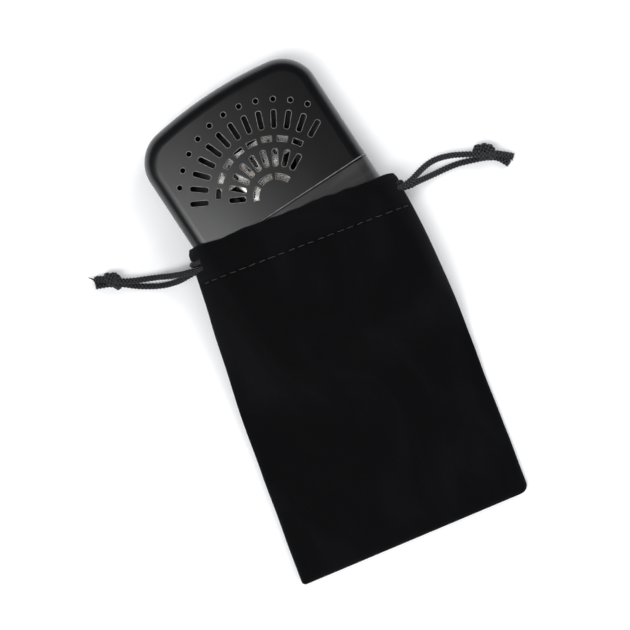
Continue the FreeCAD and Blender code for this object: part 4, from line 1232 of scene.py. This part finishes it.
def strand(side, level):
    """One free strand of a drawcord, from its gap to its cut end."""
    line = strand_line(side, level)
    node = f"drawcord_{side}_{level}_strand"
    shape = cord_tube(line, cords().diameter, rounded=(False, True), flare=TAIL_FLARE,
                      frames=level_frames)
    piece = new_piece(f"{side}_{level}_strand", *shape[:2], "cord", (node,), shape[2])
    return piece


# Where the middle of each knot lies.
KNOT_MIDDLES = {"left": (-64.1 * MM, 65.8 * MM), "right": (69.8 * MM, 31.9 * MM)}
# The turns of each knot, as points in millimetres from its middle: outward along the strands, across and up.
KNOT_CORDS = {
    "left": [
        [(2.0, 0.6, -1.0), (2.5, 1.9, 0.2), (2.1, 1.5, 1.5), (1.55, 0.5, 1.9), (1.05, -0.5, 1.8),
         (0.6, -1.45, 1.0), (0.3, -1.4, -0.6), (0.2, -0.4, -1.2)],
        [(1.0, 0.8, -0.9), (1.3, 2.0, 0.2), (1.0, 1.2, 1.6), (0.5, 0.2, 2.0), (0.0, -0.7, 1.9),
         (-0.5, -1.5, 1.0), (-0.6, -1.4, -0.6), (-0.4, -0.4, -1.2)],
        [(-0.3, 1.2, -0.4), (-0.5, 1.1, 0.9), (-0.8, 0.4, 1.5), (-1.05, -0.4, 1.7), (-1.2, -1.2, 1.3),
         (-1.3, -1.9, 0.2), (-0.9, -1.4, -1.0)],
        [(0.3, 1.0, -0.8), (0.6, 2.05, 0.0), (-0.4, 1.9, 0.9), (-1.25, 1.45, 1.3), (-2.1, 0.7, 1.5),
         (-2.3, -0.4, 1.5), (-2.25, -1.4, 1.0), (-1.95, -2.2, 0.3), (-1.3, -2.0, -0.8), (-0.7, -1.0, -1.2)],
    ],
    "right": [
        [(-1.7, -0.9, -1.0), (-2.75, -0.6, 0.2), (-3.1, 0.5, 1.1), (-2.75, 1.6, 1.1), (-1.9, 2.1, 1.2),
         (-1.15, 1.5, 1.7), (-0.8, 0.3, 1.9), (-0.6, -1.1, 1.5), (-0.7, -2.2, 0.5), (-0.9, -1.7, -0.9)],
        [(-0.5, 1.0, -0.9), (-0.2, 2.25, 0.0), (0.5, 2.15, 1.2), (1.05, 1.25, 1.8), (1.3, 0.0, 2.0),
         (1.55, -1.2, 1.5), (1.6, -2.25, 0.4), (1.3, -1.7, -0.9)],
        [(1.2, 0.7, -0.8), (1.6, 1.75, 0.2), (2.3, 1.55, 1.1), (2.8, 0.7, 1.5), (3.1, -0.4, 1.4),
         (3.1, -1.4, 0.9), (2.75, -2.0, 0.0), (2.2, -1.3, -1.0)],
    ],
}
# Thickness of the cord where the knot pulls it tight, as a share.
KNOT_SQUEEZE = 0.98
# Points of the line midway between two strands, and how many to each side of a knot give its heading.
PAIR_POINTS = 240
HEADING_POINTS = 8


def knot(side):
    """Both strands tied in one overhand knot."""
    low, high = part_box(f"knot_{side}")
    centre = np.array((*KNOT_MIDDLES[side], (low[2] + high[2]) / 2))
    pair = sum(resampled(strand_line(side, level), PAIR_POINTS) for level in ("upper", "lower")) / 2
    near = int(np.argmin(np.linalg.norm(pair[:, :2] - centre[:2], axis=1)))
    heading = pair[near + HEADING_POINTS] - pair[near - HEADING_POINTS]
    heading[2] = 0.0
    heading /= np.linalg.norm(heading)
    up = np.array((0.0, 0.0, 1.0))
    across = np.cross(up, heading) if side == "right" else np.cross(heading, up)
    parts = Parts()
    for number, points in enumerate(KNOT_CORDS[side]):
        line = spline_points(f"{side}_knot_route_{number}", np.array(points) * MM)
        line = centre + line @ np.array([heading, across, up])
        parts.add(*cord_tube(line, cords().diameter * KNOT_SQUEEZE))
    return parts.made(f"{side}_knot", "cord", (f"knot_{side}",))


# The loose fibres of a cut end: how many, how thick, how many points each, how deep their roots lie, and
# how low over the ground they may hang.
FIBRES = 34
FIBRE_RADIUS = 0.06 * MM
FIBRE_POINTS = 7
FIBRE_ROOT = 0.7 * MM
FIBRE_LOWEST = 0.08 * MM
# The least and greatest of what is drawn for each fibre: the share of the cord's area inside its root,
# its length in millimetres, and how far it spreads and curls as shares of that length.
FIBRE_PLACES = (0.02, 0.85)
FIBRE_LENGTHS = (0.7, 1.1)
FIBRE_SPREADS = (0.0, 0.4)
FIBRE_CURLS = (-0.3, 0.3)
# How light a loose fibre is under the grooves' painted shade, as if it stood this high over a groove.
FIBRE_TONE = 0.3
# The tail with one loosened yarn that sticks out, and that yarn's line and radii in millimetres.
WISP_END = ("left", "upper")
WISP = [(-69.5, 69.2, 1.9), (-69.9, 70.1, 2.1), (-70.5, 71.0, 1.6), (-71.2, 71.8, 0.8)]
WISP_POINTS = 24
WISP_RADII = (0.32, 0.08)


def frayed_end(side, level):
    """The strand's cut end, its yarns loosened into a short brush."""
    line = resampled(strand_line(side, level), 120)
    tip = line[-1]
    heading = line[-1] - line[-4]
    heading /= np.linalg.norm(heading)
    across = np.cross(heading, (0.0, 0.0, 1.0))
    up = np.cross(across, heading)
    chance = random.Random(f"{side} {level}")
    parts = Parts()
    for _ in range(FIBRES):
        turn = chance.uniform(0, 2 * math.pi)
        reach = cords().diameter / 2 * (1 + TAIL_FLARE) * math.sqrt(chance.uniform(*FIBRE_PLACES))
        root = tip + (across * math.cos(turn) + up * math.sin(turn)) * reach - heading * FIBRE_ROOT
        length = chance.uniform(*FIBRE_LENGTHS) * MM
        spread = (across * math.cos(turn) + up * math.sin(turn) * 0.6) * chance.uniform(*FIBRE_SPREADS)
        curl = across * chance.uniform(*FIBRE_CURLS)
        steps = np.linspace(0, 1, FIBRE_POINTS)[:, None]
        fibre = root + (heading * steps + spread * steps ** 2 + curl * steps ** 3) * length
        fibre[:, 2] = np.maximum(fibre[:, 2], FIBRE_LOWEST)
        points, faces, _ = tube(fibre, FIBRE_RADIUS, 5)
        parts.add(points, faces, [FIBRE_TONE] * len(points))
    if (side, level) == WISP_END:
        wisp = resampled(spline_points("wisp_route", np.array(WISP) * MM), WISP_POINTS)
        points, faces, raised = tube(wisp, np.linspace(*WISP_RADII, WISP_POINTS) * MM, 8)
        parts.add(points, faces, [FIBRE_TONE * height for height in raised])
    return parts.made(f"{side}_{level}_frayed_end", "cord")


# Where each cord passes the other cord's gap: its place along the pouch and how far it stands out.
FAR_PASSES = {"left": (46.1 * MM, 2.5 * MM), "right": (45.35 * MM, 2.0 * MM)}
BULGE_REACH = 3.4 * MM
# The share of the way across the mouth after which a cord keeps its far place.
FAR_BLEND = 1 / 1.08
# A cord's run round the mouth stays this far from its own gap, at its start and at its end.
RUN_MARGINS = (4.2 * MM, 3.36 * MM)
# How far a cord bends inward and apart where its two ends turn into the hem.
END_BEND = 0.9 * MM
END_PARTING = 0.5 * MM


def hem_middle(along, side):
    """The middle of the cloth all round the hem, at a place along the pouch, from one side's seam on."""
    middle = (section_at(along, 0) + section_at(along, 1)) / 2
    return middle if side == "left" else np.roll(middle[::-1], HALF_RING + 1, axis=0)


def hem_cord(side):
    """A drawcord's run in the hem: in at its own gap, round the mouth, across the other gap and back."""
    ends = CORD_PLACES[side]
    far_place, bulge = FAR_PASSES[side]
    section, far_section = hem_middle(ends[1], side), hem_middle(far_place, side)
    share = np.abs(section[:, 0] - section[0, 0]) / np.ptp(section[:, 0])
    section += (far_section - section) * np.clip(share / FAR_BLEND, 0, 1)[:, None]
    far_seam = section[np.argmax(share)].copy()
    nearness = np.clip(1 - np.linalg.norm((section - far_seam)[:, [0, 2]], axis=1) / BULGE_REACH, 0, 1)
    section[:, 0] += np.sign(far_seam[0] - section[0, 0]) * bulge * nearness
    lengths = travelled(section)
    run = section[(lengths > RUN_MARGINS[0]) & (lengths < lengths[-1] - RUN_MARGINS[1])][::2]
    inward = ends[0] + END_BEND * (1 if side == "left" else -1)
    upper, lower = GAP_HEIGHTS["upper"], GAP_HEIGHTS["lower"]
    start = [(*ends, upper), (inward, ends[1], upper + END_PARTING)]
    finish = [(inward, ends[1], lower - END_PARTING), (*ends, lower)]
    line = spline_points(f"{side}_hem_route", [tuple(to_frame(*point)) for point in (*start, *run, *finish)])
    shape = cord_tube(line, cords().diameter, spacing=0.24 * MM, sides=24, rounded=(False, False))
    return new_piece(f"{side}_cord_in_hem", *shape[:2], "cord", (f"drawcord_{side}_in_hem",), shape[2])


def side_cords(side):
    """Both strands of one drawcord, with the knot and the frayed ends on them."""
    tied, upper_end, lower_end = knot(side), frayed_end(side, "upper"), frayed_end(side, "lower")
    strands = [strand(side, "upper"), strand(side, "lower")]
    # The left cord's pieces take the copy of the yarn darkened as painted shade.
    if side == "left":
        for piece in (tied, upper_end, lower_end, *strands, hem_cord(side)):
            piece.data.materials[0] = material("painted_shade_cord")
    else:
        hem_cord(side)


# ---------------------------------------------------------------- the stage


def lamp(name, place, size, power, in_gloss):
    """A white rectangular lamp, turned to the middle of the object."""
    light = bpy.data.lights.new(name, "AREA")
    light.shape = "RECTANGLE"
    light.size, light.size_y = size
    light.energy = power
    item = bpy.data.objects.new(name, light)
    item.location = place
    item.rotation_euler = (Vector(LAMP_TARGET) - item.location).to_track_quat("-Z", "Y").to_euler()
    item.visible_glossy = in_gloss
    bpy.context.scene.collection.objects.link(item)


# Distances from the middle over which the floor's far part grows white.
FLOOR_FADE = (0.3, 1.3)
FLOOR_HALF = 1.6
FLOOR_HEIGHT = -0.15 * MM


def floor_material(settings):
    """A matt floor that looks white from the camera and in what gloss and glass show."""
    finish = Finish("stage_floor")
    base = tuple(settings.floor_colour)
    direct = finish.rays("Camera", "Glossy", "Transmission")
    middle = {0: finish.place()}
    from_middle = finish.node("ShaderNodeVectorMath", {"operation": "LENGTH"}, middle, output="Value")
    far = finish.spread(from_middle, *FLOOR_FADE)
    finish.set(
        Base_Color=finish.blend(direct, base, (1.0, 1.0, 1.0)),
        Roughness=0.9,
        Emission_Color=finish.blend(direct * far, (0.0, 0.0, 0.0), (0.7, 0.7, 0.7)),
        Emission_Strength=1.0,
    )
    return finish.material


# Strengths of the world: for soft light, and for gloss at the horizon and overhead.
WORLD_SOFT = 0.42
WORLD_HORIZON = 0.85
WORLD_OVERHEAD = 0.04
# How far up from the horizon, as a share, the world has grown dark.
WORLD_DARK_FROM = 0.26
WORLD_COLOUR = (0.92, 0.95, 1.0, 1.0)


def studio_world():
    """White round the horizon, even for soft light, and dark overhead in what gloss reflects."""
    world = bpy.data.worlds.new("studio")
    world.use_nodes = True
    nodes = Nodes(world.node_tree)
    height = nodes.parts(nodes.node("ShaderNodeTexCoord", output="Generated"))[2]
    overhead = nodes.spread(height, 0.0, WORLD_DARK_FROM, WORLD_HORIZON, WORLD_OVERHEAD)
    camera = nodes.rays("Camera")
    gloss = nodes.rays("Glossy", "Transmission")
    strength = camera + gloss * overhead + (1 - camera) * (1 - gloss) * WORLD_SOFT
    background = world.node_tree.nodes["Background"]
    background.inputs["Color"].default_value = WORLD_COLOUR
    nodes.put(background.inputs["Strength"], strength)
    return world


def make_floor(settings):
    """One pale square just below the ground."""
    mesh = bpy.data.meshes.new("stage_floor")
    signs = ((-1, -1), (1, -1), (1, 1), (-1, 1))
    corners = [(x * FLOOR_HALF, y * FLOOR_HALF, FLOOR_HEIGHT) for x, y in signs]
    mesh.from_pydata(corners, [], [(0, 1, 2, 3)])
    mesh.materials.append(floor_material(settings))
    floor = bpy.data.objects.new("stage_floor", mesh)
    bpy.context.scene.collection.objects.link(floor)


# Each lamp's name, place, size in metres, power in watts, and whether gloss shows it.
LAMPS = (
    ("key", (1.05, 0.45, 0.90), (0.80, 0.80), 9.0, False),
    ("softbox", (-0.30, -0.04, 0.95), (0.34, 0.46), 3.2, True),
    ("side_box", (-0.52, -0.03, 0.85), (0.22, 0.50), 2.6, True),
    ("fill", (0.10, -0.80, 0.55), (0.6, 0.4), 2.2, False),
)
# The point that the lamps are turned to, and the place over the ground that the camera looks down on.
LAMP_TARGET = (0.0, 0.01, 0.01)
CAMERA_OVER = (-0.01142, 0.01667)
SENSOR_WIDTH = 36.0


def make_camera(settings):
    """The camera, which looks straight down."""
    camera = bpy.data.cameras.new("camera")
    camera.lens = settings.lens
    camera.sensor_width = SENSOR_WIDTH
    item = bpy.data.objects.new("camera", camera)
    item.location = (*CAMERA_OVER, settings.camera_height)
    item.rotation_euler = (0.0, 0.0, settings.camera_turn)
    bpy.context.scene.collection.objects.link(item)
    bpy.context.scene.camera = item


def make_stage(settings):
    """A pale floor, two boxes of light that gloss shows, two plain lamps, and the camera."""
    make_floor(settings)
    for name, place, size, power, in_gloss in LAMPS:
        lamp(name, place, size, power, in_gloss)
    bpy.context.scene.world = studio_world()
    make_camera(settings)
    bpy.context.scene.view_settings.view_transform = "Standard"


# ---------------------------------------------------------------- registration


class WARMER_OT_metal(bpy.types.Operator):
    """Give the cap, the tank, the burner and what they hold their finishes"""

    bl_idname = "warmer.metal"
    bl_label = "Finish the warmer"

    def execute(self, context):
        for row in frame["record"]["subparts"]:
            node = frame["nodes"][row["node"]]
            node.data.materials.clear()
            finish = "tank_satin" if row["node"] == "tank_shell" else row["material_slot"]
            node.data.materials.append(material(finish))
        bared_edges()
        return {"FINISHED"}


class WARMER_OT_pouch(bpy.types.Operator):
    """Build the velvet pouch"""

    bl_idname = "warmer.pouch"
    bl_label = "Build the pouch"

    def execute(self, context):
        cloth = velvet_pouch()
        seam_allowances()
        return {"FINISHED"}


class WARMER_OT_thread(bpy.types.Operator):
    """Sew the hem's two rows of stitches"""

    bl_idname = "warmer.thread"
    bl_label = "Sew the hem"

    def execute(self, context):
        stitches_on(front=True)
        stitches_on(front=False)
        return {"FINISHED"}


class WARMER_OT_cords(bpy.types.Operator):
    """Braid the two drawcords, with their knots and frayed ends"""

    bl_idname = "warmer.cords"
    bl_label = "Braid the drawcords"

    def execute(self, context):
        for side in ("left", "right"):
            side_cords(side)
        return {"FINISHED"}


class WARMER_OT_stage(bpy.types.Operator):
    """Set up the floor, the lamps and the camera"""

    bl_idname = "warmer.stage"
    bl_label = "Set the stage"

    def execute(self, context):
        make_stage(context.scene.warmer_stage)
        return {"FINISHED"}


SETTINGS = {
    "warmer_metal": WarmerMetalSettings,
    "warmer_pouch": WarmerPouchSettings,
    "warmer_cords": WarmerCordSettings,
    "warmer_stage": WarmerStageSettings,
}
OPERATORS = (WARMER_OT_stage, WARMER_OT_metal, WARMER_OT_pouch, WARMER_OT_thread, WARMER_OT_cords)


class WARMER_PT_sidebar(bpy.types.Panel):
    """Lists the steps and their settings."""

    bl_idname = "WARMER_PT_sidebar"
    bl_label = "Hand warmer"
    bl_space_type = "VIEW_3D"
    bl_region_type = "UI"
    bl_category = "Warmer"

    def draw(self, context):
        for name, group in SETTINGS.items():
            box = self.layout.box()
            for setting in group.__annotations__:
                box.prop(getattr(context.scene, name), setting)
        for operator in OPERATORS:
            self.layout.operator(operator.bl_idname)


def register():
    for name, group in SETTINGS.items():
        bpy.utils.register_class(group)
        setattr(bpy.types.Scene, name, PointerProperty(type=group))
    for item in (*OPERATORS, WARMER_PT_sidebar):
        bpy.utils.register_class(item)


def unregister():
    for item in (WARMER_PT_sidebar, *reversed(OPERATORS)):
        bpy.utils.unregister_class(item)
    for name, group in reversed(SETTINGS.items()):
        delattr(bpy.types.Scene, name)
        bpy.utils.unregister_class(group)


def main():
    """Build everything."""
    register()
    bpy.ops.warmer.stage()
    bpy.ops.warmer.metal()
    bpy.ops.warmer.pouch()
    bpy.ops.warmer.thread()
    bpy.ops.warmer.cords()


if __name__ == "__main__":
    main()
